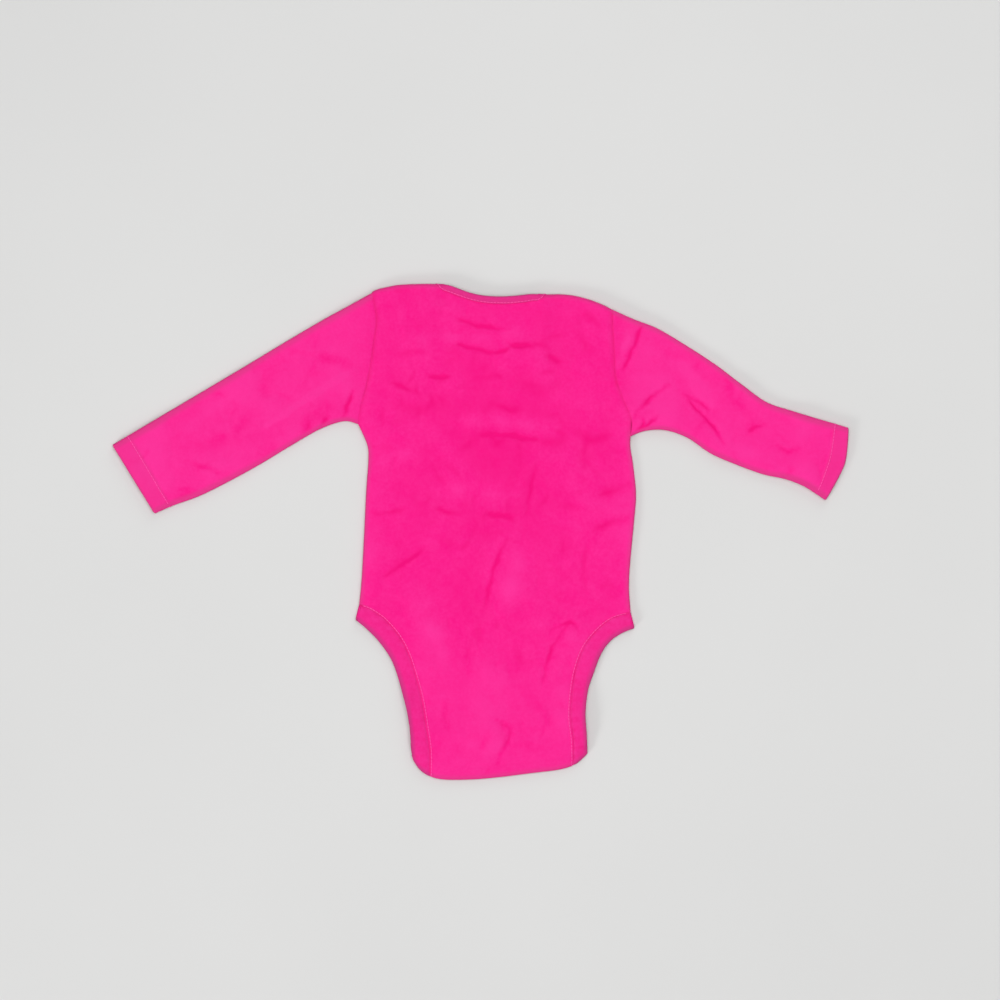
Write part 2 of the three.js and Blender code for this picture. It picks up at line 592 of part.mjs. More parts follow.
// A leg binding: from its end on the flap, round the crotch fold, up the back, over the side, down the front
function legBand(side) {
  const half = BAND / 2;
  const outwards = side === "left" ? 1 : -1;
  const seam = (share) => legLine[`${side}Seam`](share, (outwards * SEAM_GAP) / 2);
  const edge = (share) => legLine[`${side}Edge`](share);
  const flat = (share, across) => {
    const [a, b] = [seam(share), edge(share)];
    const x = lerp(a.x, b.x, across);
    return { x, y: lerp(a.y, b.y, across) + crotchShift(x, share) };
  };
  const flatRow = (share, level) =>
    bandRow((across) => {
      const { x, y } = flat(share, across);
      return { x, y, z: level(x, y) };
    });
  const flap = (x, y) => flapZ(x, y, half);
  const front = (x, y) => frontFloor(x, y) + half;
  const crotchTurn = (angle) =>
    bandRow((across) => {
      const { x, y } = flat(0, across);
      return { x, y: y - CROTCH_RADIUS * Math.sin(angle), z: turnZ(upperZ(x, y), flap(x, y), angle) };
    });
  const sideTurn = (angle) =>
    bandRow((across) => {
      const [end, before] = [flat(1, across), flat(0.98, across)];
      const out = new THREE.Vector2(end.x - before.x, end.y - before.y).normalize();
      const topZ = upperZ(before.x, before.y);
      const radius = turnRadius(topZ, half);
      const past = radius * Math.sin(angle) - radius - half;
      return { x: end.x + out.x * past, y: end.y + out.y * past, z: turnZ(topZ, half, angle) };
    });
  const angles = Array.from({ length: FOLD_STEPS + 1 }, (_, k) => (k / FOLD_STEPS) * Math.PI);
  const open = LEG_SHARES.filter((share) => share > 0 && share < 1);
  const rows = [
    ...FLAP_SHARES.map((share) => flatRow(share, flap)),
    ...angles.toReversed().map(crotchTurn),
    ...open.map((share) => flatRow(share, upperZ)),
    ...angles.map(sideTurn),
    ...open.filter((share) => share >= PLACKET_SHARES.start).toReversed().map((share) => flatRow(share, front)),
  ];
  return thicken(addBlock(newSheet(), side === "left" ? reversed(rows) : rows));
}

// A sleeve: a flat tube from the armhole to a turned hem
function sleeve(side, table, cuff) {
  const outwards = side === "left" ? 1 : -1;
  const { upper, under } = curves(table, "upper", "under");
  const hole = armLine[side];
  const hemStart = 1 - cuff.hem;
  const stations = [
    ...SLEEVE_SHARES.map((share) => ({ share: share * (hemStart - HEM_LEDGE), outer: HALF, inner: HALF })),
    ...HEM_SHARES.map((share) => ({ share: lerp(hemStart, 1, share), outer: HEM_OUTER, inner: HEM_INNER })),
  ];
  const rows = stations.map(({ share, outer, inner }, station) => {
    const [low, high] = [under(share), upper(share)];
    const length = Math.hypot(high.x - low.x, high.y - low.y);
    const sink = SEAM_SINK * (SLEEVE_SINKS[station] ?? 0);
    // A place across the sleeve, bent to the armhole at one end and to the cuff's bulge at the other
    const flat = (across) => {
      const at = hole(across, (outwards * SEAM_GAP) / 2);
      const bulge = cuff.bow * 4 * across * (1 - across) * smoothstep(share, 0.8, 1);
      const bent = (axis) => (1 - share) * (at[axis] - lerp(hole(0)[axis], hole(1)[axis], across));
      return {
        x: lerp(low.x, high.x, across) + bent("x") - outwards * bulge,
        y: lerp(low.y, high.y, across) + bent("y"),
      };
    };
    const edgeRadius = (across) => {
      const { x, y } = flat(across);
      return turnRadius(upperZ(x, y), outer);
    };
    const radius = { low: edgeRadius(4 / length), high: edgeRadius(1 - 4 / length) };
    const [from, to] = [(outer + radius.low) / length, 1 - (outer + radius.high) / length];
    const inside = ARM_SHARES.slice(0, -1);
    const top = inside.map((at) => {
      const { x, y } = flat(at);
      return { x, y, z: upperZ(x, y) - sink };
    });
    const bottom = [to, ...inside.toReversed(), from].map((at) => ({ ...flat(at), z: outer }));
    top.unshift({ ...flat(from), z: outer + 2 * radius.low });
    top.push({ ...flat(to), z: outer + 2 * radius.high });
    const turn = (edge, size, direction) =>
      Array.from({ length: FOLD_STEPS - 1 }, (_, k) => {
        const angle = ((k + 1) / FOLD_STEPS) * Math.PI;
        const { x, y } = flat(edge + (direction * size * Math.sin(angle)) / length);
        return { x, y, z: outer + size + direction * size * Math.cos(angle) };
      });
    const ring = [...top, ...turn(to, radius.high, 1), ...bottom, ...turn(from, radius.low, -1)];
    return ring.map((point) => walled(point, outer, inner));
  });
  return thicken(addBlock(newSheet(), side === "left" ? rows : reversed(rows), true));
}

const snapPlaces = [-1, 0, 1].map((step) => {
  const x = (LEG[0].leftSeam[0] + LEG[0].rightSeam[0]) / 2 + step * SNAP_SPACING;
  return { x, y: crotchFoldY(x) + SNAP_LINE };
});

// A snap's part, turned about an upright line through its place
function snapPart(profile, { x, y }) {
  const geometry = new THREE.LatheGeometry(profile.map(({ out, up }) => new THREE.Vector2(out, up)), SNAP_SIDES);
  return geometry.rotateX(Math.PI / 2).translate(x, y, 0);
}

// A closed geometry as a solid that can be cut
function toSolid(geometry) {
  const bare = geometry.clone();
  bare.deleteAttribute("normal");
  bare.deleteAttribute("uv");
  const { attributes, index } = mergeVertices(bare, 1e-4);
  const mesh = new wasm.Mesh({ numProp: 3, vertProperties: attributes.position.array, triVerts: index.array });
  return new wasm.Manifold(mesh);
}

// Cuts the snaps' holes through the layer whose middle is at height z
function pierced(geometry, z) {
  let solid = toSolid(geometry);
  for (const { x, y } of snapPlaces) {
    const hole = new THREE.CylinderGeometry(SNAP_HOLE, SNAP_HOLE, PLACKET + 0.6, SNAP_SIDES);
    solid = solid.subtract(toSolid(hole.rotateX(Math.PI / 2).translate(x, y, z)));
  }
  const { vertProperties, triVerts } = solid.getMesh();
  const cut = new THREE.BufferGeometry();
  cut.setAttribute("position", new THREE.BufferAttribute(vertProperties, 3));
  cut.setIndex(new THREE.BufferAttribute(triVerts, 1));
  return cut;
}

const JERSEY = { color: "#fc268f", roughness: 0.92, metalness: 0 };
const BINDING = { color: "#f8248a", roughness: 0.92, metalness: 0 };
const METAL = { color: "#c9cbcf", roughness: 0.35, metalness: 1 };

const bodysuit = new THREE.Group();

function add(name, geometry, look) {
  geometry.computeVertexNormals();
  const mesh = new THREE.Mesh(geometry, new THREE.MeshStandardMaterial(look));
  mesh.name = name;
  bodysuit.add(mesh);
}

add("back_panel", pierced(backPanel(), FLAP_LEVEL), JERSEY);
add("front_panel", pierced(frontPanel(), PLACKET_LIFT + PLACKET / 2), JERSEY);
add("sleeve_left", sleeve("left", LEFT_SLEEVE, LEFT_CUFF), JERSEY);
add("sleeve_right", sleeve("right", RIGHT_SLEEVE, RIGHT_CUFF), JERSEY);
add("leg_band_left", legBand("left"), BINDING);
add("leg_band_right", legBand("right"), BINDING);
add("neck_band_back", backNeckBand(), BINDING);
add("neck_band_front", frontNeckBand(), BINDING);
snapPlaces.forEach((place, i) => {
  add(`snap_socket_${i + 1}`, snapPart(SNAP_SOCKET, place), METAL);
  add(`snap_stud_${i + 1}`, snapPart(SNAP_STUD, place), METAL);
});

export default bodysuit;
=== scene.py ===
"""A baby's plain long-sleeved bodysuit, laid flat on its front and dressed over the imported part.

Lengths are millimetres in the part's own frame until a mesh is made: the floor is z = 0, the back
faces up and the neck points along +Y.
"""
from typing import NamedTuple

import bpy
import numpy as np
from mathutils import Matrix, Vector


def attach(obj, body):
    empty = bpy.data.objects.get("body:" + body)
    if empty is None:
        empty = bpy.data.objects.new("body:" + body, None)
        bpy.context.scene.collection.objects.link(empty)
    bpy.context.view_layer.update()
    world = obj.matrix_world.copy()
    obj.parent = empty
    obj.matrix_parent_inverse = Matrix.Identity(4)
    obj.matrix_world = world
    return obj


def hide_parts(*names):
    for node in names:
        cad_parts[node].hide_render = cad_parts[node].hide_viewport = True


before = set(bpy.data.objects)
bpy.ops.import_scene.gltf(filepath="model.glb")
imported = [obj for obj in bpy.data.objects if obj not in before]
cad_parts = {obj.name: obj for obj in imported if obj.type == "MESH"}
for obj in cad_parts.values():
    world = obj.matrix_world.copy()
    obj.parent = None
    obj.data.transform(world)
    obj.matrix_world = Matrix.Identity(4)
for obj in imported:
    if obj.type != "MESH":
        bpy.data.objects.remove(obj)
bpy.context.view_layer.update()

# Sizes

CLOTH = 1.0  # single jersey
PLACKET = 1.4  # the jersey turned under where the snaps are set
BAND = 1.6  # a binding folded over the edge
HEM_INNER = 1.2  # a turned sleeve hem, inwards and outwards from the sleeve's middle line
HEM_OUTER = 0.7
HALF = CLOTH / 2
SEAM_GAP = 0.2  # between two sewn pieces
SEAM_SINK = 0.5  # how far a seam lies under the cloth around it
SINK_REACH = 4.0

# Heights of the upper layer's middle line over the floor, and of what lies under it
BODY_LEVEL = 3.4
SHOULDER_LEVEL = 5.0
CROTCH_LEVEL = 6.1
CUFF_LIFT = 0.9
LAP_LIFT = 2.1
PLACKET_LIFT = 0.7
FLAP_LEVEL = 3.9
MIDDLE_X = 11
CROTCH_HALF_WIDTH = 95

# The leg openings from the crotch fold up to the side seams: the band's edge and its seam
LEG = {
    "left_edge": [
        (-58, -187.5), (-59.6, -173), (-61.2, -158), (-64.6, -140), (-70, -121), (-77, -106), (-86.5, -92.8),
        (-96.5, -82.6), (-106.2, -74.6),
    ],
    "left_seam": [
        (-43.4, -205.2), (-43.4, -185.2), (-46.2, -165.2), (-50.7, -137.5), (-58.2, -112.9), (-67.3, -92.5),
        (-79.8, -76.6), (-91.5, -67.4), (-103, -62),
    ],
    "right_seam": [
        (79.3, -195.6), (79, -175.6), (76.8, -156), (77.8, -136), (81.3, -117.2), (88.5, -98), (100, -83.5),
        (113, -73.5), (127.6, -68.7),
    ],
    "right_edge": [
        (90.6, -188.2), (89.8, -172), (88.8, -155), (91, -136), (95.3, -121.5), (102.4, -103.5),
        (110.5, -92.7), (120.5, -86), (131, -81.8),
    ],
}
# The side seams up to the underarms, and the armhole seams up to the shoulder tips
SIDE = {
    "left": [
        (-103, -62), (-101.2, -44), (-99.7, -20), (-98.3, 8), (-97, 35), (-95.2, 61), (-96.4, 74),
        (-104, 91.2),
    ],
    "right": [
        (127.6, -68.7), (126.2, -46), (127.8, -20), (130.5, 8), (132.2, 31), (129.8, 56),
        (127.4, 71), (127.5, 80.9),
    ],
}
ARMHOLE = {
    "left": [(-104, 91.2), (-100.9, 108), (-96.5, 125), (-93, 143), (-90.4, 162), (-88.3, 181), (-92, 202.2)],
    "right": [(127.5, 80.9), (128, 95), (120.4, 114), (114.6, 132), (113.6, 151), (112.4, 171), (111.8, 188)],
}
# The sleeves from the armhole to the cuff's end: the folded upper edge and the underarm edge
SLEEVES = {
    "left": {
        "upper": [
            (-92, 202.2), (-112, 191.2), (-136.4, 177.8), (-168, 159.2), (-200.2, 139.8), (-236, 118.6),
            (-272, 97.3), (-296.5, 82.8), (-312.1, 73.6),
        ],
        "under": [
            (-104, 91.2), (-116, 93.6), (-136, 87), (-162, 72.2), (-187.4, 56.8), (-213, 42.7), (-238.5, 30),
            (-260.5, 22), (-276.1, 15.1),
        ],
        "bow": 0,
        "hem": 0.115,
    },
    "right": {
        "upper": [
            (111.8, 188), (130, 179.8), (150, 172), (175, 157.3), (200, 141), (222, 124.3), (243, 109.5),
            (265, 102), (286, 95.6), (298.5, 92), (311.9, 88),
        ],
        "under": [
            (127.5, 80.9), (140, 85.5), (157, 86), (176, 79.5), (196, 66), (218, 56.5), (240, 48.5),
            (259, 44.3), (274, 38.5), (283, 33), (292.4, 26.5),
        ],
        "bow": 6.6,
        "hem": 0.09,
    },
}
# The outermost reach of the crotch fold and of the shoulder folds
CROTCH_FOLD = [
    (-60, -184.5), (-56, -195.5), (-48, -205), (-34.4, -210.6), (-8.9, -211), (16.6, -208.9), (42.1, -205.7),
    (67.6, -202.4), (80.3, -197.8), (91.5, -188),
]
SHOULDER_FOLD = [
    (-96, 201.4), (-91, 203.8), (-86, 205.8), (-78, 207.6), (-68.4, 209.3), (-47.2, 210.1), (-33, 209.7),
    (-10, 208.6), (12, 206.2), (35, 202.9), (52.3, 201.2), (67.6, 201.3), (80.3, 199.9), (93.1, 196.5),
    (105.8, 191.4), (115, 186),
]
# The back's neck seam: down its left lap, round the neck on the upper side, and down its right lap
BACK_NECK = {
    "left lap": [(-90, 158), (-76, 172), (-61, 186.5), (-48, 198.5)],
    "neck": [
        (-35, 207), (-26, 202.6), (-16, 198.7), (-7, 195.9), (3, 194), (17, 193.2), (31, 193.9), (43, 195.5),
        (52, 197.8),
    ],
    "right lap": [(64, 191), (80, 177), (96, 162), (113, 145)],
}
FRONT_NECK = [
    (-92, 193.5), (-76, 183), (-58, 169.5), (-35, 155.5), (-10, 148.5), (12, 146.5), (36, 148.5), (60, 155),
    (82, 166.5), (98, 174.5), (115, 178),
]
NECK_BAND_WIDTH = 5.6

# Shares of the leg line where the placket starts and where it and the flap end
PLACKET_START = 0.044
PLACKET_END = 0.2
PLACKET_REACH = 34  # the placket's end from the crotch fold
SNAP_LINE = 21  # the snaps from the crotch fold
SNAP_SPACING = 38

# Creases


class Crease(NamedTuple):
    """A soft trough (depth under 0) or ridge through its points.

    A lean over 0 raises the cloth on the left of its way and deepens it on the right. The core adds a
    sharp line in the crease's bottom, this many times as deep as the crease.
    """

    through: list
    width: float
    depth: float
    lean: float = 0.0
    core: float = 0.0


CORE_WIDTH = 1.3
WAVER = 0.45  # how far creases wander from their lines
UPPER_SHARE = 0.52  # the share of the upper table's depths that its creases get
LOWER_CORE = 0.6
UPPER_CREASES = [  # through, width, depth, lean, core
    # across the shoulders
    ([(-17, 179.5), (-5, 174.8), (10, 172.3), (24, 171)], 2.3, -0.75, -0.5, 0.6),
    ([(-36, 188), (-26, 184), (-17, 180)], 2.5, -0.3, 0.3),
    ([(-66, 150), (-56, 152), (-46, 151)], 2.7, -0.5, -0.4),
    ([(-18, 158), (-4, 154.5), (9, 151.5)], 2.2, -0.9, -0.4, 0.5),
    ([(12, 151), (19, 152), (24, 155)], 2.0, -1.0, -0.3, 0.6),
    ([(25, 158), (34, 157), (44, 157)], 2.8, -1.3, -0.5, 0.5),
    ([(47, 159.5), (54, 158), (58, 154)], 2.2, -0.7, 0.2),
    ([(57, 149), (62, 147), (67, 143)], 2.5, -0.9, 0.2, 0.3),
    ([(-58, 163), (-30, 165), (0, 163.5), (36, 168)], 6.5, 0.55),
    ([(-45, 131.5), (-36, 130.5), (-27, 130)], 2.2, -0.9, -0.4, 0.4),
    ([(-76, 126), (-66, 122), (-55, 118)], 2.5, -0.7, -0.4),
    ([(10, 109), (22, 104.5), (33, 102)], 2.5, -0.6, 0.3),
    ([(88, 187), (97, 180), (104, 171)], 4.6, -0.65, 0.3),
    ([(80, 170), (88, 160), (92, 147)], 4.0, -0.4, -0.4),
    ([(-72, 196), (-66, 182), (-64, 168)], 5.0, 0.4, 0.2),
    # the middle of the back
    ([(-20, 91), (8, 94), (34, 91), (60, 87)], 6.5, 0.8),
    ([(2, 81.5), (22, 81.5), (38, 78.5), (47, 77)], 2.2, -1.0, -0.5, 0.6),
    ([(52, 78), (64, 75), (70, 80)], 4.2, -0.6, 0.2),
    ([(-72, 108), (-52, 104), (-30, 110)], 6.0, -0.35, 0.3),
    ([(30, 128), (52, 120), (70, 124)], 5.5, -0.35, -0.4),
    ([(-86, 58), (-72, 64), (-58, 67)], 6.0, 0.7),
    ([(-34, 62), (-20, 50), (-14, 38)], 2.7, -0.4, 0.4),
    ([(84, 84), (96, 78), (108, 82)], 4.0, -0.7, 0.2),
    ([(90, 62), (86, 48), (90, 36)], 5.0, -0.45, -0.3),
    # the waist
    ([(-92, 15), (-78, 15.5), (-66, 18)], 2.3, -0.6, -0.4, 0.3),
    ([(-38, 19), (-28, 16), (-18, 14.5)], 2.3, -0.65, -0.4, 0.3),
    ([(5, 14.8), (15, 13.2), (27, 11)], 2.3, -1.1, -0.5, 0.5),
    ([(47, 56), (43, 36), (39.5, 15)], 2.0, -0.5, 0.4, 0.4),
    ([(-34, 36), (-4, 33), (28, 29)], 8.0, 0.65),
    ([(128, 40), (112, 34), (100, 30)], 4.0, -0.7, 0.3, 0.3),
    ([(127, 13), (112, 8), (96, 2)], 4.4, -0.75, -0.3, 0.4),
    ([(60, 12), (78, 6), (90, -6)], 6.0, 0.4, 0.2),
    ([(-80, -38), (-64, -27), (-48, -16)], 2.2, -0.75, -0.5, 0.7),
    ([(-28, -8), (-16, -14), (-8, -6)], 2.3, -0.45, 0.4),
    # the seat
    ([(22, -6), (13, -26), (8, -44), (4, -62)], 2.3, -0.85, -0.5, 0.5),
    ([(36, -12), (28, -38), (20, -62)], 7.0, 0.55),
    ([(92, -8), (88, -30), (90, -52)], 2.3, -0.4, 0.4),
    ([(60, -84), (76, -77), (86, -88)], 2.2, -0.65, 0.6, 0.7),
    ([(76, -77), (62, -96), (56, -112), (53, -128)], 2.5, -0.7, -0.5, 0.5),
    ([(-44, -78), (-34, -94), (-30, -112)], 6.5, 0.55, 0.2),
    ([(-4, -84), (-12, -104), (-10, -122)], 2.8, -0.4, -0.4),
    ([(30, -96), (34, -112), (28, -126)], 4.0, -0.4, 0.4),
    ([(-28, -142), (-30, -156), (-26, -170)], 2.7, -0.45, 0.3),
    ([(14, -160), (26, -170), (20, -184), (14, -198)], 2.3, -0.6, 0.4, 0.5),
    ([(-12, -178), (4, -186), (16, -182)], 4.0, 0.4),
    ([(40, -140), (52, -152), (60, -168)], 4.4, -0.35, -0.3),
    # the left sleeve
    ([(-139, 147), (-126, 145.5), (-113, 141)], 4.4, -0.85, -0.3),
    ([(-113, 134), (-138, 118), (-162, 102), (-182, 89)], 2.4, 0.8, 0.3, 0.5),
    ([(-108, 119), (-112, 108), (-116, 97)], 2.2, -1.0, 0.3, 0.8),
    ([(-130, 97), (-132, 93), (-133, 89)], 2.7, -1.1, 0.2, 0.5),
    ([(-147, 93), (-146.5, 89), (-147, 85)], 4.0, -1.2, 0.2, 0.4),
    ([(-128, 106), (-138, 99), (-150, 93)], 6.0, -0.6),
    ([(-168, 146), (-180, 128), (-184, 112)], 5.0, -0.35, 0.3),
    ([(-196, 100), (-206, 86), (-208, 70)], 4.0, -0.4, -0.3),
    ([(-248, 59), (-238, 56), (-213, 48)], 2.7, -0.65, 0.4),
    ([(-244, 34), (-251, 29), (-258, 26)], 4.0, -0.8),
    ([(-214, 82), (-226, 76), (-240, 72)], 5.5, -0.5, 0.2),
    ([(-216, 112), (-236, 98), (-252, 84)], 5.5, 0.35),
    # the right sleeve
    ([(137.5, 175), (131, 158), (121.5, 137)], 1.9, -1.2, 0.5, 0.7),
    ([(126, 168), (121, 152), (117, 140)], 3.2, 0.7),
    ([(160, 124.5), (146, 115), (137, 106), (130, 96)], 1.9, -1.0, -0.4, 0.7),
    ([(150, 96), (142, 90), (134, 85)], 2.0, -1.1, 0.4, 0.6),
    ([(139, 95), (137, 90), (134, 87)], 1.6, -0.8, 0.2, 0.6),
    ([(170, 144), (182, 128), (198, 106)], 5.5, 0.9, 0.2),
    ([(176, 112), (188, 99), (198, 88), (207, 75)], 1.9, -1.0, 0.4, 0.7),
    ([(172, 116), (183, 111), (194, 103)], 2.0, -0.7, 0.3, 0.8),
    ([(226, 83), (232, 88), (240, 90)], 2.3, -0.7, 0.3, 0.6),
    ([(252, 72), (262, 68), (270, 70)], 2.7, -0.6, 0.2, 0.5),
    ([(148, 160), (162, 150), (176, 146)], 4.4, -0.4, 0.3),
    ([(214, 112), (226, 98), (232, 84)], 4.6, -0.4, -0.3),
    ([(212, 74), (228, 66), (244, 62)], 5.5, 0.4),
]
# The front lies against the floor, so its creases only lift off it
LOWER_CREASES = [  # through, width, depth
    ([(-62, 112), (-30, 120), (6, 116), (30, 122)], 3.0, 0.75),
    ([(40, 118), (62, 110), (88, 114)], 3.0, 0.6),
    ([(-84, 86), (-66, 80), (-40, 84)], 3.6, 0.55),
    ([(-20, 66), (6, 60), (40, 64), (58, 58)], 3.2, 0.7),
    ([(-78, 40), (-56, 30), (-40, 34)], 3.0, 0.5),
    ([(-30, 8), (-4, 2), (20, 8), (50, 2)], 3.6, 0.7),
    ([(72, 26), (92, 18), (112, 22)], 3.4, 0.5),
    ([(-74, -26), (-50, -34), (-30, -28)], 3.8, 0.55),
    ([(16, -30), (24, -54), (18, -76)], 3.6, 0.7),
    ([(60, -40), (52, -66), (56, -90)], 3.4, 0.5),
    ([(-34, -72), (-26, -96), (-32, -118)], 3.0, 0.55),
    ([(-160, 128), (-178, 112), (-190, 92)], 3.8, 0.7),
    ([(-124, 158), (-134, 140), (-130, 122)], 3.2, 0.6),
    ([(-226, 96), (-240, 80), (-238, 64)], 3.6, 0.5),
    ([(148, 150), (158, 130), (154, 112)], 3.6, 0.7),
    ([(186, 124), (200, 108), (206, 90)], 3.2, 0.6),
    ([(238, 90), (250, 78), (248, 64)], 3.6, 0.5),
]
# The cloth's small wrinkles and its slow swells, drawn from a fixed seed, and its seams' puckers
SEED = 11
WRINKLES = [  # how many, and the ranges of their length, width and depth
    (150, (12, 30), (2.0, 3.4), (-0.26, 0.14)),
    (950, (4, 13), (1.7, 2.3), (-0.21, 0.1)),
]
WRINKLED_X = (-310, 310)
WRINKLED_Y = (-208, 208)
WRINKLE_WAYS = [0.1, 1.9, 1.2]  # the angles they keep near
WRINKLE_TURN = 0.4
WRINKLE_BOW = 0.8
WRINKLE_LEAN = (-0.6, 0.6)
SWELLS = [(70, 0.42, 7), (33, 0.17, 9), (15, 0.045, 11)]  # wavelength, height and how many waves
SWELL_DOWN = 0.4
SWELL_UP = 1.2
PUCKER_LONG = 7.5
PUCKER_HEIGHT = 0.2
PUCKER_REACH = 6.0

random = np.random.default_rng(SEED)


def lerp(a, b, share):
    return a + (b - a) * share


def smoothstep(value, low, high):
    t = np.clip((value - low) / (high - low), 0, 1)
    return t * t * (3 - 2 * t)


def fading(value, low, high):
    """1 up to low, and 0 from high on."""
    return 1 - smoothstep(value, low, high)


def unit(vectors):
    return vectors / np.maximum(np.linalg.norm(vectors, axis=-1, keepdims=True), 1e-9)


def curve_through(points):
    """A smooth curve through points, read by shares from 0 to 1 and moved to the left of its way."""
    points = np.array(points, float)
    ends = np.vstack([points[:1], points, points[-1:]])

    def place(share):
        spot = np.clip(share, 0, 1) * (len(points) - 1)
        i = np.minimum(spot.astype(int), len(points) - 2)
        t = (spot - i)[..., None]
        p0, p1, p2, p3 = (ends[i + k] for k in range(4))
        v1, v2 = (p2 - p0) / 2, (p3 - p1) / 2
        return ((2 * (p1 - p2) + v1 + v2) * t + 3 * (p2 - p1) - 2 * v1 - v2) * t * t + v1 * t + p1

    def at(share, moved=0.0):
        share = np.asarray(share, float)
        along = unit(place(share + 1e-4) - place(share - 1e-4))
        return place(share) + moved * np.stack([-along[..., 1], along[..., 0]], -1)

    return at


def graph(points, known=0, wanted=1):
    """A smooth curve as a function from one coordinate, which always grows, to the other."""
    samples = curve_through(points)(np.linspace(0, 1, 301))
    return lambda value: np.interp(value, samples[:, known], samples[:, wanted])


leg_line = {name: curve_through(points) for name, points in LEG.items()}
side_line = {name: curve_through(points) for name, points in SIDE.items()}
arm_line = {name: curve_through(points) for name, points in ARMHOLE.items()}
arm_x = {name: graph(points, 1, 0) for name, points in ARMHOLE.items()}
crotch_fold_y = graph(CROTCH_FOLD)
shoulder_fold_y = graph(SHOULDER_FOLD)
front_neck_y = graph(FRONT_NECK)


CREASE_ENDS = 0.35  # the share of its depth that a crease keeps at its ends
CREASE_UNEVEN = 0.22  # the share of its depth that comes and goes along it


def crease_lift(crease, x, y):
    """How much a crease moves the cloth: deepest in its middle, and fading past its ends."""
    path = curve_through(crease.through)(np.linspace(0, 1, 9))
    way_x, way_y = np.diff(path, axis=0).T[:, :, None]
    off_x, off_y = x - path[:-1, :1], y - path[:-1, 1:]
    held = np.clip((off_x * way_x + off_y * way_y) / np.hypot(way_x, way_y) ** 2, 0, 1)
    away = np.hypot(off_x - held * way_x, off_y - held * way_y)
    nearest = np.argmin(away, axis=0), np.arange(len(x))
    across = (np.sign(off_y * way_x - off_x * way_y) * away)[nearest] / crease.width
    along = (nearest[0] + held[nearest]) / (len(path) - 1)
    reach = np.linalg.norm(np.diff(path, axis=0), axis=1).sum()
    envelope = CREASE_ENDS + (1 - CREASE_ENDS) * np.sin(np.pi * np.clip(along, 0.02, 0.98)) ** 0.8
    envelope = envelope * (1 - CREASE_UNEVEN + CREASE_UNEVEN * np.sin(along * reach / 4 + path[0, 0]))
    soft = np.exp(-(across**2)) * (1 - crease.lean * across)
    sharp = crease.core * np.exp(-((across * crease.width / CORE_WIDTH) ** 2))
    return crease.depth * envelope * (soft + sharp)


def creased(creases):
    """The creases of one layer as a function of the place, near each crease only."""

    def lift(x, y):
        total = np.zeros(x.shape)
        # Nothing in cloth runs straight
        x, y = (
            x + WAVER * (np.sin(0.37 * y + 0.11 * x) + 0.6 * np.sin(0.83 * y - 0.29 * x)),
            y + WAVER * (np.sin(0.33 * x - 0.13 * y) + 0.6 * np.sin(0.79 * x + 0.31 * y)),
        )
        for crease in creases:
            low = np.min(crease.through, axis=0) - 3 * crease.width
            high = np.max(crease.through, axis=0) + 3 * crease.width
            near = (x > low[0]) & (x < high[0]) & (y > low[1]) & (y < high[1])
            if near.any():
                total[near] += crease_lift(crease, x[near], y[near])
        return total

    return lift


def small_wrinkles():
    """Short wrinkles, most of them across the body or slanting down it."""
    found = []
    for count, lengths, widths, depths in WRINKLES:
        for _ in range(count):
            middle = np.array([random.uniform(*WRINKLED_X), random.uniform(*WRINKLED_Y)])
            angle = random.choice(WRINKLE_WAYS) + random.normal(0, WRINKLE_TURN)
            reach = random.uniform(*lengths) / 2 * np.array([np.cos(angle), np.sin(angle)])
            through = [middle - reach, middle + random.normal(0, WRINKLE_BOW, 2), middle + reach]
            width, depth = random.uniform(*widths), random.uniform(*depths)
            found.append(Crease(through, width, depth, random.uniform(*WRINKLE_LEAN)))
    return found


def swells():
    """The slow uneven lie of soft cloth, as waves in many directions."""
    waves = [
        (angle, phase, 2 * np.pi / (wavelength * stretch), height / np.sqrt(count) * 1.4)
        for wavelength, height, count in SWELLS
        for angle, phase, stretch in random.uniform([0, 0, 0.75], [np.pi, 2 * np.pi, 1.3], (count, 3))
    ]

    def lift(x, y):
        total = np.zeros(np.shape(x))
        for angle, phase, turn, height in waves:
            total = total + height * np.sin((x * np.cos(angle) + y * np.sin(angle)) * turn + phase)
        return np.where(total < 0, SWELL_DOWN * total, SWELL_UP * total)

    return lift


SEAMS = (leg_line["left_seam"], leg_line["right_seam"], *arm_line.values())
SEAM_LINES = np.vstack([seam(np.linspace(0, 1, 90)) for seam in SEAMS])


def puckers(x, y):
    """The ripples that run out from the leg and armhole seams."""
    away = np.full(x.shape, np.inf)
    for px, py in SEAM_LINES:
        away = np.minimum(away, (x - px) ** 2 + (y - py) ** 2)
    fade = np.exp(-np.sqrt(away) / PUCKER_REACH)
    turn = 2 * np.pi / PUCKER_LONG
    ripple = np.sin(y * turn + 1.3 * np.sin(y / 17)) + 0.6 * np.sin((y * 0.8 + x * 0.5) * turn * 1.27)
    return PUCKER_HEIGHT * fade * ripple * (0.6 + 0.4 * np.sin(y / 23 + x / 31))


placed_creases = [
    Crease(through, width, UPPER_SHARE * depth, *rest) for through, width, depth, *rest in UPPER_CREASES
]
upper_creases = creased(placed_creases + small_wrinkles())
lower_creases = creased([Crease(*row, core=LOWER_CORE) for row in LOWER_CREASES])
swell = swells()


# Where the upper layer's level changes, by the distance from the folds or from the middle
SHOULDER_FALL = (50, 92)
SHOULDER_ASIDE = (112, 165)
CROTCH_RISE = (2, 13)
CROTCH_FALL = (36, 64)
CUFF_RISE = (225, 270)
# Near the folds the cloth is held, so its creases fade there
CROTCH_HOLD = (0, 12)
SHOULDER_HOLD = (-2, 10)
FRONT_HOLD = (40, 60)
LOWER_HIGHEST = 0.8  # how far the under layer may lift off the floor


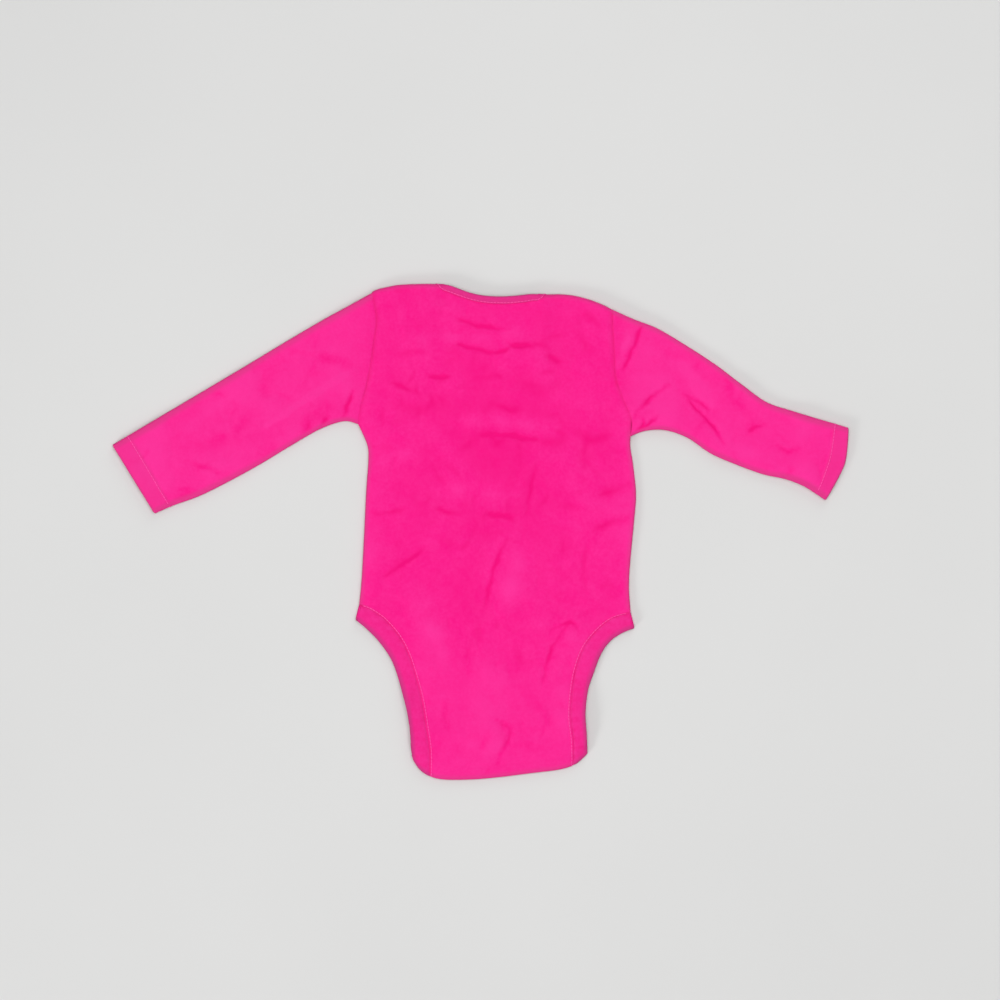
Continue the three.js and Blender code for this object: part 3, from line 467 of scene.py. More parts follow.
def upper_z(x, y):
    """Height of the upper layer's middle line anywhere on the garment."""
    x, y = np.broadcast_arrays(np.asarray(x, float), np.asarray(y, float))
    aside = np.abs(x - MIDDLE_X)
    from_fold = y - crotch_fold_y(x)
    to_shoulder = shoulder_fold_y(x) - y
    shoulders = fading(to_shoulder, *SHOULDER_FALL) * fading(aside, *SHOULDER_ASIDE)
    at_crotch = aside < CROTCH_HALF_WIDTH
    crotch = smoothstep(from_fold, *CROTCH_RISE) * fading(from_fold, *CROTCH_FALL) * at_crotch
    loose = np.where(at_crotch, smoothstep(from_fold, *CROTCH_HOLD), 1)
    loose = loose * np.where(aside < SHOULDER_ASIDE[0], smoothstep(to_shoulder, *SHOULDER_HOLD), 1)
    return (
        BODY_LEVEL
        + (SHOULDER_LEVEL - BODY_LEVEL) * shoulders
        + (CROTCH_LEVEL - BODY_LEVEL) * crotch
        + CUFF_LIFT * smoothstep(aside, *CUFF_RISE)
        + (upper_creases(x, y) + swell(x, y) + puckers(x, y)) * loose
    )


# How much paler the cloth is painted on the sleeves and the seat, as painted light, and deeper in the back's
# middle, as painted shade
SLEEVES_PALER = 0.57
SLEEVES_ASIDE = (95, 125)
SEAT_PALER = 0.42
SEAT_FALL = (-150, -60)
MIDDLE_DEEPER = 0.42
MIDDLE_Y = 70
MIDDLE_REACH = (62, 95)
# What a millimetre of crease, of swell or of the under layer's lift adds to the relief shading: painted
# shade in the hollows and painted light on the ridges
CREASE_RELIEF = 2.5
SWELL_RELIEF = 0.35
LIFT_RELIEF = -1.3
LYING_RELIEF = 0.3  # where the under layer lies on the floor


# The upper layer's painted shade in crease hollows and painted light on ridges, with the painted light and
# shade by place
def upper_relief_shading(x, y):
    aside = np.abs(x - MIDDLE_X)
    sleeves = smoothstep(aside, *SLEEVES_ASIDE)
    seat = fading(y, *SEAT_FALL) * (1 - sleeves)
    middle = np.exp(-((aside / MIDDLE_REACH[0]) ** 2) - ((y - MIDDLE_Y) / MIDDLE_REACH[1]) ** 2)
    # Painted light on the sleeves and the seat, painted shade in the back's middle
    light_and_shade_by_place = SLEEVES_PALER * sleeves + SEAT_PALER * seat - MIDDLE_DEEPER * middle
    return CREASE_RELIEF * upper_creases(x, y) + SWELL_RELIEF * swell(x, y) + light_and_shade_by_place


def lower_lift(x, y):
    """How far the under layer's creases and ripples lift it off the floor."""
    from_fold = y - crotch_fold_y(x)
    free = np.where(np.abs(x - MIDDLE_X) < CROTCH_HALF_WIDTH, smoothstep(from_fold, *FRONT_HOLD), 1)
    lift = lower_creases(x, y) + 0.5 * np.abs(swell(x, y)) + np.maximum(puckers(x, y), 0)
    return free * np.clip(lift, 0, LOWER_HIGHEST)


# The under layer's painted light where it lies on the floor, and painted shade where it lifts off it
def lower_relief_shading(lift):
    return LYING_RELIEF + LIFT_RELIEF * lift


# The folds

CROTCH_RADIUS = (BODY_LEVEL - HALF) / 2
SHOULDER_RADIUS = (SHOULDER_LEVEL - HALF) / 2
LAP_START = np.pi * SHOULDER_RADIUS


def turn_z(upper, lower, angle):
    """Height part-way round a fold from the upper layer down to a lower one."""
    return lerp(lower, upper, (1 + np.cos(angle)) / 2)


def crotch_start_y(x):
    return crotch_fold_y(x) + HALF + CROTCH_RADIUS


def shoulder_start_y(x):
    return shoulder_fold_y(x) - HALF - SHOULDER_RADIUS


CROTCH_BENT = (0.25, 0.6)  # shares of the leg line over which rows straighten from the crotch fold's shape


def crotch_shift(x, share):
    """Near the crotch, rows are bent from straight lines to the fold's shape."""
    ends = np.array([LEG[name][0] for name in ("left_edge", "left_seam", "right_seam", "right_edge")])
    outer = np.where(x < ends[1, 0], 0, np.where(x < ends[2, 0], 1, 2))
    a, b = ends[outer], ends[outer + 1]
    straight = lerp(a[..., 1], b[..., 1], (x - a[..., 0]) / (b[..., 0] - a[..., 0]))
    return fading(share, *CROTCH_BENT) * (crotch_start_y(x) - straight)


def across_armholes(share, y):
    return lerp(arm_x["left"](y) + SEAM_GAP / 2, arm_x["right"](y) - SEAM_GAP / 2, share)


def neck_reaches():
    """How far past the start of the shoulder fold the back reaches to its neck seam, as a function of x."""
    points = []
    for part, seam in BACK_NECK.items():
        for x, y in seam:
            past = y - shoulder_start_y(x)
            points.append((x, past if part == "neck" else LAP_START - past))
    return graph(points)


neck_reach = neck_reaches()


def slant(curve, x):
    """How much a curve's slant lengthens a step across it."""
    return np.hypot(1, (curve(x + 1) - curve(x - 1)) / 2)


def over_shoulder(share, reach, under_z):
    """A place on the back by its reach along the cloth past the start of the shoulder fold."""
    start = shoulder_start_y(across_armholes(share, shoulder_fold_y(MIDDLE_X)))
    angle = np.clip(reach / SHOULDER_RADIUS, 0, np.pi)
    y = start + SHOULDER_RADIUS * np.sin(angle) + np.minimum(reach, 0) - np.maximum(reach - LAP_START, 0)
    x = across_armholes(share, y)
    return x, y, turn_z(upper_z(x, np.minimum(y, start)), under_z, angle)


LAP_FALL = (-32, -12)  # from the lap's end, where the front comes down to the floor
PLACKET_FALL = (PLACKET_REACH + 2, PLACKET_REACH + 20)
FLAP_RISE = (1.5, 9.5)


def front_floor(x, y):
    """Height of the front's underside: raised over the laps and over the snap caps."""
    reach = neck_reach(x) + NECK_BAND_WIDTH * slant(neck_reach, x)
    lap_end = shoulder_start_y(x) + LAP_START - reach
    over_lap = np.where(reach > LAP_START, LAP_LIFT * smoothstep(y - lap_end, *LAP_FALL), 0)
    over_snaps = fading(y - crotch_fold_y(x), *PLACKET_FALL)
    return over_lap + np.where(np.abs(x - MIDDLE_X) < CROTCH_HALF_WIDTH, PLACKET_LIFT * over_snaps, 0)


def front_z(x, y, half):
    held = np.clip(front_floor(x, y) / PLACKET_LIFT, 0, 1)
    return front_floor(x, y) + half + lower_lift(x, y) * (1 - held)


def flap_z(x, y, half):
    return lerp(half, FLAP_LEVEL, smoothstep(y - crotch_fold_y(x), *FLAP_RISE))


# Meshes

CUT_RIM = 0.2  # how far an edge bulges, as a share of half its wall
FOLDED_RIM = 0.75


class Cloth(NamedTuple):
    """A cloth piece with the grids of its wall's middle and of its outer face."""

    piece: bpy.types.Object
    middle: np.ndarray
    face: np.ndarray


def added(name, data):
    """A new object in the scene."""
    thing = bpy.data.objects.new(name, data)
    bpy.context.scene.collection.objects.link(thing)
    return thing


def smooth_piece(name, points, faces, material):
    """A smooth-shaded object from points in millimetres."""
    mesh = bpy.data.meshes.new(name)
    mesh.from_pydata((np.array(points) / 1000).tolist(), [], faces)
    mesh.polygons.foreach_set("use_smooth", [True] * len(mesh.polygons))
    mesh.materials.append(material)
    return added(name, mesh)


def thickened(name, middle, outer, inner, material, facing=1, ring=False, dull_shade=0.0, relief_shading=0.0, rim=CUT_RIM):
    """A closed wall round a grid of middle points, rows by columns, with its open edges rounded.

    outer and inner are the distances to the two faces. Rows of a ring join their own ends. The dulling, a
    painted shade, is 1 at seams and edges; the relief shading runs from -1 in the creases' hollows, painted
    as shade, to 1 on their ridges, painted as light.
    """
    rows, columns = middle.shape[:2]
    outer, inner = (np.broadcast_to(half, (rows, columns)) for half in (outer, inner))
    along = np.gradient(middle, axis=0)
    if ring:
        across = (np.roll(middle, -1, axis=1) - np.roll(middle, 1, axis=1)) / 2
    else:
        across = np.gradient(middle, axis=1)
    normal = facing * unit(np.cross(across, along))
    outer_face = middle + normal * outer[..., None]
    inner_face = middle - normal * inner[..., None]
    points = [outer_face.reshape(-1, 3), inner_face.reshape(-1, 3)]
    count = rows * columns
    number = np.arange(count).reshape(rows, columns)
    if ring:
        number = np.hstack([number, number[:, :1]])
    corners = [number[:-1, :-1], number[:-1, 1:], number[1:, 1:], number[1:, :-1]]
    quads = np.stack([corner.ravel() for corner in corners[::facing]], -1)
    faces = [quads, quads[:, ::-1] + count]
    # The rounded edges: each open side of the grid gets a line of points just past it
    outwards = np.zeros(middle.shape)
    outwards[0] -= unit(along[0])
    outwards[-1] += unit(along[-1])
    if ring:
        loops = [number[0, :-1], number[-1, -2::-1]]
    else:
        outwards[:, 0] -= unit(across[:, 0])
        outwards[:, -1] += unit(across[:, -1])
        loops = [np.concatenate([number[0, :-1], number[:-1, -1], number[-1, :0:-1], number[:0:-1, 0]])]
    outwards = unit(outwards).reshape(-1, 3)
    half = ((outer + inner) / 2).reshape(-1)
    start = 2 * count
    for loop in loops:
        points.append(middle.reshape(-1, 3)[loop] + outwards[loop] * half[loop, None] * rim)
        here, after_loop = start + np.arange(len(loop)), np.roll(loop, -1)
        after = np.roll(here, -1)
        walls = [[loop, here, after, after_loop], [here, loop + count, after_loop + count, after]]
        faces += [np.stack(wall, -1)[:, ::facing] for wall in walls]
        start += len(loop)
    piece = smooth_piece(name, np.vstack(points), np.vstack(faces).tolist(), material)
    grid_point = np.concatenate([np.arange(count), np.arange(count), *loops])
    weave(piece.data, middle, grid_point, ring)
    for label, values in (("dull_shade", dull_shade), ("relief_shading", np.clip(relief_shading, -1, 1))):
        values = np.broadcast_to(values, (rows, columns)).ravel()[grid_point].astype(np.float32)
        piece.data.attributes.new(label, "FLOAT", "POINT").data.foreach_set("value", values)
    return Cloth(piece, middle, outer_face)


def weave(mesh, middle, grid_point, ring):
    """Lengths along the cloth in millimetres as UVs, for the knit."""

    def so_far(axis):
        steps = np.diff(middle, axis=axis, prepend=middle.take([0], axis=axis))
        return np.cumsum(np.linalg.norm(steps, axis=2), axis=axis)

    across, along = so_far(1), so_far(0)
    around = across[:, -1].max()
    across = across - across[:, across.shape[1] // 2][:, None]
    lengths = np.stack([across.ravel(), along.ravel()], -1)[grid_point]
    corner = np.zeros(len(mesh.loops), int)
    mesh.loops.foreach_get("vertex_index", corner)
    faces = lengths[corner].reshape(-1, 4, 2)
    if ring:
        wraps = np.ptp(faces[..., 0], axis=1) > around / 2
        faces[..., 0] += around * (wraps[:, None] & (faces[..., 0] < 0))
    mesh.uv_layers.new(name="cloth").data.foreach_set("uv", faces.ravel())


def walls_round(number):
    """The faces between rows of points that close on themselves."""
    after = np.roll(number, -1, axis=1)
    return np.stack([number[:-1], after[:-1], after[1:], number[1:]], -1).reshape(-1, 4).tolist()


def turned(name, profile, place, material, sides=48):
    """A closed solid turned about an upright line, where its (distance, height) points start and end."""
    first, *inside, last = profile
    angles = np.linspace(0, 2 * np.pi, sides, endpoint=False)
    points = [(0, 0, first[1])]
    points += [(out * np.cos(angle), out * np.sin(angle), up) for out, up in inside for angle in angles]
    points.append((0, 0, last[1]))
    number = 1 + np.arange(len(inside) * sides).reshape(-1, sides)
    after = np.roll(number, -1, axis=1)
    faces = [(0, b, a) for a, b in zip(number[0].tolist(), after[0].tolist())] + walls_round(number)
    faces += [(len(points) - 1, a, b) for a, b in zip(number[-1].tolist(), after[-1].tolist())]
    return smooth_piece(name, np.array(points) + [*place, 0], faces, material)


# A stitch: shares of its length, heights over the cloth, and its radii
STITCH = [(0, -0.15, 0.14), (0.12, 0.1, 0.28), (0.5, 0.18, 0.32), (0.88, 0.1, 0.28), (1, -0.15, 0.14)]
STITCH_LONG = 2.6
STITCH_PITCH = 2.9
STITCH_UNEVEN = 0.12
STITCH_SIDES = 6


def stitched(name, lines, material):
    """Rows of stitches as one mesh. Each line is its points on the cloth and the way off the cloth there."""
    shares, heights, radii = (np.array(column)[:, None] for column in zip(*STITCH))
    angles = np.linspace(0, 2 * np.pi, STITCH_SIDES, endpoint=False)[:, None]
    number = np.arange(len(STITCH) * STITCH_SIDES).reshape(-1, STITCH_SIDES)
    one = [face[1::-1] + face[:1:-1] for face in walls_round(number)]
    one += [number[0].tolist(), number[-1, ::-1].tolist()]
    points, faces = [], []
    for line, off in lines:
        far = np.concatenate([[0], np.cumsum(np.linalg.norm(np.diff(line, axis=0), axis=1))])
        for start in np.arange(0.4, far[-1] - STITCH_LONG, STITCH_PITCH):
            spots = (start + shares * (STITCH_LONG + STITCH_UNEVEN * np.sin(start * 1.7)))[:, 0]
            middles, ways = (
                np.stack([np.interp(spots, far, axis) for axis in values.T], -1) for values in (line, off)
            )
            ways = unit(ways)
            aside = unit(np.cross(ways, np.gradient(middles, axis=0)))
            faces += [[len(points) + corner for corner in face] for face in one]
            for centre, way, side, radius in zip(middles + ways * heights, ways, aside, radii):
                points += list(centre + radius * (np.cos(angles) * side + np.sin(angles) * way))
    return smooth_piece(name, points, faces, material)


def line_on(cloth, where):
    """A line of a piece's outer face, with the way off the cloth."""
    return cloth.face[where], unit(cloth.face[where] - cloth.middle[where])


# Materials


class Nodes:
    """Short ways to add and join a material's nodes."""

    def __init__(self, name):
        self.material = bpy.data.materials.new(name)
        self.material.use_nodes = True
        self.tree = self.material.node_tree
        self.shader = self.tree.nodes["Principled BSDF"]
        self.place = self.add("TexCoord").outputs["Object"]

    def add(self, kind, settings=(), **inputs):
        node = self.tree.nodes.new("ShaderNode" + kind)
        for name, value in dict(settings).items():
            setattr(node, name, value)
        for name, value in inputs.items():
            self.put(node.inputs[name], value)
        return node

    def put(self, socket, value):
        if isinstance(value, bpy.types.NodeSocket):
            self.tree.links.new(value, socket)
        else:
            socket.default_value = value

    def math(self, value, *steps):
        """A value taken through steps such as "SINE" or ("MULTIPLY", 2)."""
        for step in steps:
            operation, other = (step, 0.0) if isinstance(step, str) else step
            node = self.add("Math", {"operation": operation})
            self.put(node.inputs[0], value)
            self.put(node.inputs[1], other)
            value = node.outputs[0]
        return value

    def mixed(self, share, a, b):
        return self.add("Mix", {"data_type": "RGBA"}, Factor=share, A=a, B=b).outputs["Result"]

    def attribute(self, name):
        return self.add("Attribute", {"attribute_name": name}).outputs["Fac"]

    def noise(self, scale, detail):
        return self.add("TexNoise", Vector=self.place, Scale=scale, Detail=detail).outputs["Fac"]

    def spread(self, value, low, high, to_low=0.0, to_high=1.0):
        ends = {"From Min": low, "From Max": high, "To Min": to_low, "To Max": to_high}
        return self.add("MapRange", Value=value, **ends).outputs["Result"]

    def finished(self, colour, roughness, height, strength, distance, constants):
        bump = self.add("Bump", Height=height, Strength=strength, Distance=distance)
        joined = {"Base Color": colour, "Roughness": roughness, "Normal": bump.outputs["Normal"]}
        for name, value in {**joined, **constants}.items():
            self.put(self.shader.inputs[name], value)
        return self.material


# The noises in a knit's colour: their scale and detail, the values of theirs that are spread from 0 to 1,
# and their share of the tone
TONES = [(26.0, 4.0, 0.36, 0.66, 0.25), (105.0, 3.0, 0.36, 0.64, 0.25), (400.0, 4.0, 0.35, 0.65, 0.5)]


def knit(name, pale, deep, hollow_shade, ridge, dull_shade_colour, wale, course, ribbed=0.0):
    """Cotton knit. Its loops stand in wales. Its colour drifts at random; painted shade deepens it in
    hollows, between its loops and at seams and fold edges, and painted light pales it on ridges.
    """
    nodes = Nodes(name)
    cloth = nodes.add("SeparateXYZ", Vector=nodes.add("UVMap", {"uv_map": "cloth"}).outputs["UV"])
    # A V of two legs in each wale, repeated up the cloth
    from_middle = nodes.math(cloth.outputs["X"], ("DIVIDE", wale), "FRACT", ("SUBTRACT", 0.5), "ABSOLUTE")
    legs = nodes.math(cloth.outputs["Y"], ("DIVIDE", course), ("ADD", from_middle))
    legs = nodes.math(legs, ("MULTIPLY", np.pi), "SINE", "ABSOLUTE", ("MULTIPLY", 0.5), ("ADD", 0.5))
    surface = nodes.math(from_middle, ("MULTIPLY", 2 * np.pi), "SINE", ("MULTIPLY", legs))
    if ribbed:
        turn = ("MULTIPLY", np.pi / ribbed)
        ribs = nodes.math(cloth.outputs["Y"], turn, "SINE", "ABSOLUTE", ("MULTIPLY", 0.8))
        surface = nodes.math(surface, ("ADD", ribs))
    fuzz = nodes.noise(1400.0, 3.0)
    surface = nodes.math(surface, ("ADD", nodes.math(fuzz, ("MULTIPLY", 0.9))))
    tone = 0.0
    for scale, detail, low, high, share in TONES:
        part = nodes.math(nodes.spread(nodes.noise(scale, detail), low, high), ("MULTIPLY", share))
        tone = nodes.math(tone, ("ADD", part))
    colour = nodes.mixed(tone, deep, pale)
    # Painted shade in the creases' hollows and painted highlight on their ridges
    relief_shading = nodes.attribute("relief_shading")
    colour = nodes.mixed(nodes.spread(relief_shading, 0.0, -0.9, 0.0, 0.95), colour, hollow_shade)
    colour = nodes.mixed(nodes.spread(relief_shading, 0.1, 0.9, 0.0, 0.6), colour, ridge)
    # Painted shade: the dull colour at seams and fold edges
    colour = nodes.mixed(nodes.attribute("dull_shade"), colour, dull_shade_colour)
    # Painted shade: the knit's low places between its loops are painted towards the deep colour
    colour = nodes.mixed(nodes.spread(surface, 0.2, 1.2, 0.3, 0.0), colour, deep)
    sheen = {"Sheen Weight": 0.08, "Sheen Roughness": 0.5, "Sheen Tint": (1.0, 0.25, 0.6, 1.0)}
    roughness = nodes.spread(fuzz, 0.3, 0.7, 0.84, 0.96)
    return nodes.finished(colour, roughness, surface, 0.5, 0.0002, {"Specular IOR Level": 0.12, **sheen})


def spun(name, dark, pale):
    """Sewing thread, twisted along its way."""
    nodes = Nodes(name)
    twist = nodes.noise(2600.0, 2.0)
    colour = nodes.mixed(nodes.spread(twist, 0.3, 0.7), dark, pale)
    roughness = nodes.spread(twist, 0.3, 0.7, 0.55, 0.75)
    return nodes.finished(colour, roughness, twist, 0.4, 0.0001, {"Specular IOR Level": 0.3})


def plated(name, dark, pale):
    """Nickel-plated brass, softly brushed and a little rubbed."""
    nodes = Nodes(name)
    cloudy = nodes.noise(420.0, 4.0)
    colour = nodes.mixed(nodes.spread(cloudy, 0.35, 0.7), dark, pale)
    roughness = nodes.spread(cloudy, 0.3, 0.7, 0.22, 0.4)
    return nodes.finished(colour, roughness, nodes.noise(5200.0, 2.0), 0.12, 0.00005, {"Metallic": 1.0})


# The hollow and dull colours are painted shade and the ridge colour a painted highlight; pale and deep give
# the cloth's random tone
JERSEY = knit(
    "jersey",
    pale=(0.89, 0.021, 0.27, 1),
    deep=(0.875, 0.005, 0.226, 1),
    hollow_shade=(0.83, 0.001, 0.183, 1),
    ridge=(0.9, 0.039, 0.328, 1),
    dull_shade_colour=(0.7, 0.037, 0.23, 1),
    wale=0.7,
    course=0.55,
)
BINDING = knit(
    "binding",
    pale=(0.85, 0.023, 0.268, 1),
    deep=(0.82, 0.01, 0.215, 1),
    hollow_shade=(0.74, 0.003, 0.175, 1),
    ridge=(0.83, 0.034, 0.29, 1),
    dull_shade_colour=(0.56, 0.034, 0.2, 1),
    wale=0.8,
    course=0.6,
    ribbed=1.1,
)
THREAD = spun("thread", dark=(0.85, 0.07225, 0.374, 1), pale=(1.0, 0.085, 0.44, 1))
NICKEL = plated("nickel", dark=(0.62, 0.63, 0.65, 1), pale=(0.78, 0.78, 0.79, 1))

# The body

EDGE_AWAY = np.array([0, 0.5, 1.0, 1.8, 2.6, 3.6, 5.0])  # columns near an edge
STITCH_COLUMN = 3
EVEN_COLUMNS = np.arange(1, 135) / 135
SHADE_REACH = 5.0  # how far from a fold the painted shade reaches
SEAM_SHADE = 0.2  # how much painted shade dulls a seam, where painted shade deepens its colour instead
# How much deeper in colour a seam is painted, as painted shade in its groove
SEAM_HOLLOW_SHADE = 0.7
# How much duller the whole turned hem is painted
HEM_DULL = 0.3
# Shares of the leg line and of the side line over which a sewn side turns into a fold, and back again
LEG_BEND = (0.93, 1)
UNDERARM_BEND = (0.955, 1)
NECK_SINK_REACH = 3.2
LAP_TURN = (-6, -1)  # reaches over which the sink fades before a lap turns over the shoulder fold
# Shares of the way from the underarms to the neck over which rows take on the armholes' and the neck's shape
ARM_EASE = (0, 0.15)
SINK_EASE = (0, 0.2)
NECK_EASE = (0.15, 1)
FRONT_SINK = 0.4  # the share of the seams' sink that the front has there


def edge_columns(end, inwards, bend, inset):
    """Places near one end of each row, and how far they lie under their layer."""
    angle = np.linspace(0, np.pi / 2, len(EDGE_AWAY))
    radius = ((upper_z(end[:, 0] + 3 * inwards, end[:, 1]) - HALF) / 2)[:, None]
    bend = bend[:, None]
    x = end[:, :1] + inwards * lerp(inset + EDGE_AWAY, HALF + radius * (1 - np.cos(angle)), bend)
    sink = SEAM_SINK * fading(EDGE_AWAY, 0, SINK_REACH)
    return x, lerp(sink, radius * (1 - np.sin(angle)) - SEAM_GAP * (EDGE_AWAY == 0), bend)


def body_rows(left, right, bend, inset, shift=np.zeros_like):
    """Rows of places across the body. shift bends them, as a function of x."""
    left_x, left_drop = edge_columns(left, 1, bend, inset)
    right_x, right_drop = edge_columns(right, -1, bend, inset)
    inner = lerp(left_x[:, -1:], right_x[:, -1:], EVEN_COLUMNS)
    x = np.hstack([left_x, inner, right_x[:, ::-1]])
    drop = np.hstack([left_drop, np.zeros(inner.shape), right_drop[:, ::-1]])
    y = lerp(left[:, 1:], right[:, 1:], (x - left[:, :1]) / (right[:, :1] - left[:, :1]))
    return x, y + shift(x), drop


def leg_rows(shares):
    return body_rows(
        leg_line["left_seam"](shares, -SEAM_GAP / 2),
        leg_line["right_seam"](shares, SEAM_GAP / 2),
        smoothstep(shares, *LEG_BEND),
        0,
        lambda x: crotch_shift(x, shares[:, None]),
    )


def side_rows(shares):
    bend = fading(shares, *UNDERARM_BEND)
    return body_rows(side_line["left"](shares), side_line["right"](shares), bend, SEAM_GAP / 2)


def placed(x, y, z):
    return np.stack(np.broadcast_arrays(x, y, z), -1)


FLAP_ROWS = np.linspace(PLACKET_END, 0.011, 22)
LEG_ROWS = np.linspace(0, 1, 88)
SIDE_ROWS = np.linspace(0, 1, 92)[1:]
ARM_ROWS = np.linspace(0, 1, 112)[1:]
FOLD_ANGLES = np.linspace(np.pi, 0, 9)[:-1]


def round_crotch(rows, half):
    """A piece from its end on the flap, round the crotch fold and up the back as far as the side seams."""
    x, y, _ = rows(FLAP_ROWS)
    flap = placed(x, y, flap_z(x, y, half))
    x, y, drop = rows(LEG_ROWS)
    upper = placed(x, y, upper_z(x, y) - drop)
    turn = FOLD_ANGLES[:, None]
    fold_z = turn_z(upper[0, :, 2], flap_z(x[0], y[0], half), turn)
    return flap, placed(x[0], y[0] - CROTCH_RADIUS * np.sin(turn), fold_z), upper


def back_grid():
    x, y, drop = side_rows(SIDE_ROWS)
    parts = [*round_crotch(leg_rows, HALF), placed(x, y, upper_z(x, y) - drop)]
    # From the underarms to the neck seam, over the shoulder folds where there are laps
    base_x, base_y = x[-1], y[-1]
    column = (base_x - base_x[0]) / (base_x[-1] - base_x[0])
    fold_x = across_armholes(column, shoulder_fold_y(MIDDLE_X))
    start_reach = base_y - shoulder_start_y(fold_x)
    end_reach = neck_reach(fold_x) - SEAM_GAP / 2 * slant(neck_reach, fold_x)
    share = ARM_ROWS[:, None]
    reach = lerp(start_reach, end_reach, share)
    x, y, z = over_shoulder(column, reach, HALF)
    x = lerp(base_x, x, smoothstep(share, *ARM_EASE))
    edge = np.minimum(column, 1 - column) * (base_x[-1] - base_x[0])
    at_neck = fading(end_reach - reach, 0, NECK_SINK_REACH) * smoothstep(share, *SINK_EASE)
    sink = SEAM_SINK * np.maximum(fading(edge, 0, SINK_REACH), at_neck)
    parts.append(placed(x, y, z - sink * fading(reach, *LAP_TURN)))
    return np.vstack(parts)


def front_grid():
    shares = LEG_ROWS[LEG_ROWS >= PLACKET_START]
    x, y, drop = leg_rows(shares)
    half = np.where(shares <= PLACKET_END, PLACKET / 2, HALF)[:, None]
    parts = [placed(x, y, front_z(x, y, half) + drop)]
    x, y, drop = side_rows(SIDE_ROWS)
    parts.append(placed(x, y, front_z(x, y, HALF) + drop))
    tips = [arm_line[side](1.0) for side in ("left", "right")]
    shares = ARM_ROWS[::2]
    left, right = arm_line["left"](shares), arm_line["right"](shares)
    x, y, drop = body_rows(left, right, np.zeros(len(shares)), SEAM_GAP / 2)
    straight = lerp(tips[0][1], tips[1][1], (x - tips[0][0]) / (tips[1][0] - tips[0][0]))
    neck_y = front_neck_y(x) - SEAM_GAP / 2 * slant(front_neck_y, x)
    y = y + smoothstep(shares, *NECK_EASE)[:, None] * (neck_y - straight)
    x = across_armholes((x - x[:, :1]) / (x[:, -1:] - x[:, :1]), y)
    parts.append(placed(x, y, front_z(x, y, HALF) + drop * FRONT_SINK))
    rows = np.vstack(parts)
    thick = np.where(np.arange(len(rows)) < (half[:, 0] > HALF).sum(), PLACKET / 2, HALF)[:, None]
    return rows, thick


def near_folds(x, y):
    """1 at the crotch fold and the shoulder folds, fading to 0 away from them."""
    crotch = fading(y - crotch_fold_y(x), 0, SHADE_REACH + 1)
    return np.maximum(crotch, fading(shoulder_fold_y(x) - y, 0, SHADE_REACH))


def near_sides(middle):
    """1 at a grid's side edges, fading to 0 away from them."""
    steps = np.linalg.norm(np.diff(middle, axis=1), axis=2)
    far = np.concatenate([np.zeros((len(middle), 1)), np.cumsum(steps, axis=1)], axis=1)
    return fading(np.minimum(far, far[:, -1:] - far), 0, SHADE_REACH)


def folded(y):
    """1 where the body's sides are folds, and 0 where they are sewn to a binding or a sleeve."""
    return smoothstep(y, -72, -62) * fading(y, 78, 90)


back_middle = back_grid()
on_placket = np.arange(len(back_middle)) < (FLAP_ROWS > PLACKET_START).sum()
back_half = np.where(on_placket, PLACKET / 2, HALF)[:, None]
is_upper = np.arange(len(back_middle))[:, None] >= len(FLAP_ROWS) + len(FOLD_ANGLES)
back_x, back_y = back_middle[..., 0], back_middle[..., 1]
sides = near_sides(back_middle)
# Painted shade: full at the crotch and shoulder folds and the folded sides, less along the sewn sides
dull_shade = np.maximum(sides * lerp(SEAM_SHADE, 1, folded(back_y)), near_folds(back_x, back_y))
# Painted light and shade of the creases, and painted shade along the sewn sides
relief_shading = upper_relief_shading(back_x, back_y) - SEAM_HOLLOW_SHADE * sides**2 * (1 - folded(back_y))
back = thickened("back", back_middle, back_half, back_half, JERSEY, dull_shade=dull_shade, relief_shading=relief_shading * is_upper)
front_middle, front_half = front_grid()
front_x, front_y = front_middle[..., 0], front_middle[..., 1]
sides = near_sides(front_middle)
# Painted shade along the front's folded and sewn sides
dull_shade = sides * lerp(SEAM_SHADE, 1, folded(front_y))
# Painted light and shade of the lift, and painted shade along the sides
relief_shading = lower_relief_shading(lower_lift(front_x, front_y)) - SEAM_HOLLOW_SHADE * sides**2
front = thickened("front", front_middle, front_half, front_half, JERSEY, facing=-1, dull_shade=dull_shade, relief_shading=relief_shading)

# The bindings

BAND_WIDE = 14
BAND_ACROSS = np.array([0, 0.03, 0.1, 0.2, 0.32, 0.45, 0.58, 0.7, 0.81, 0.9, 0.97, 1])
BAND_SINK = SEAM_SINK * fading(BAND_ACROSS * BAND_WIDE, 0, SINK_REACH)
BAND_OUTER = BAND / 2 * (1 - 0.5 * np.abs(2 * BAND_ACROSS - 1) ** 7)
BAND_SINK_EASE = (0, 0.04)  # shares of the leg line over which a band's seam sinks
BAND_RELIEF = 0.2  # how much paler a band is painted than plain cloth, and what its puckers add to that as painted shade and highlight
PUCKER_RELIEF = 3
# Painted shade on a band: a little by its seam, and full towards its folded outer edge
BAND_SHADE = np.maximum(SEAM_SHADE * fading(BAND_ACROSS, 0, 0.14), smoothstep(BAND_ACROSS, 0.65, 1))


# A neck band is painted at least half in shade
def bound(name, middle, facing, dull_shade=np.maximum(BAND_SHADE, 0.5), relief_shading=0.0):
    """A binding folded over an edge of the cloth."""
    walls = {"outer": BAND_OUTER, "inner": BAND / 2, "rim": FOLDED_RIM}
    return thickened(name, middle, material=BINDING, facing=facing, dull_shade=dull_shade, relief_shading=relief_shading, **walls)


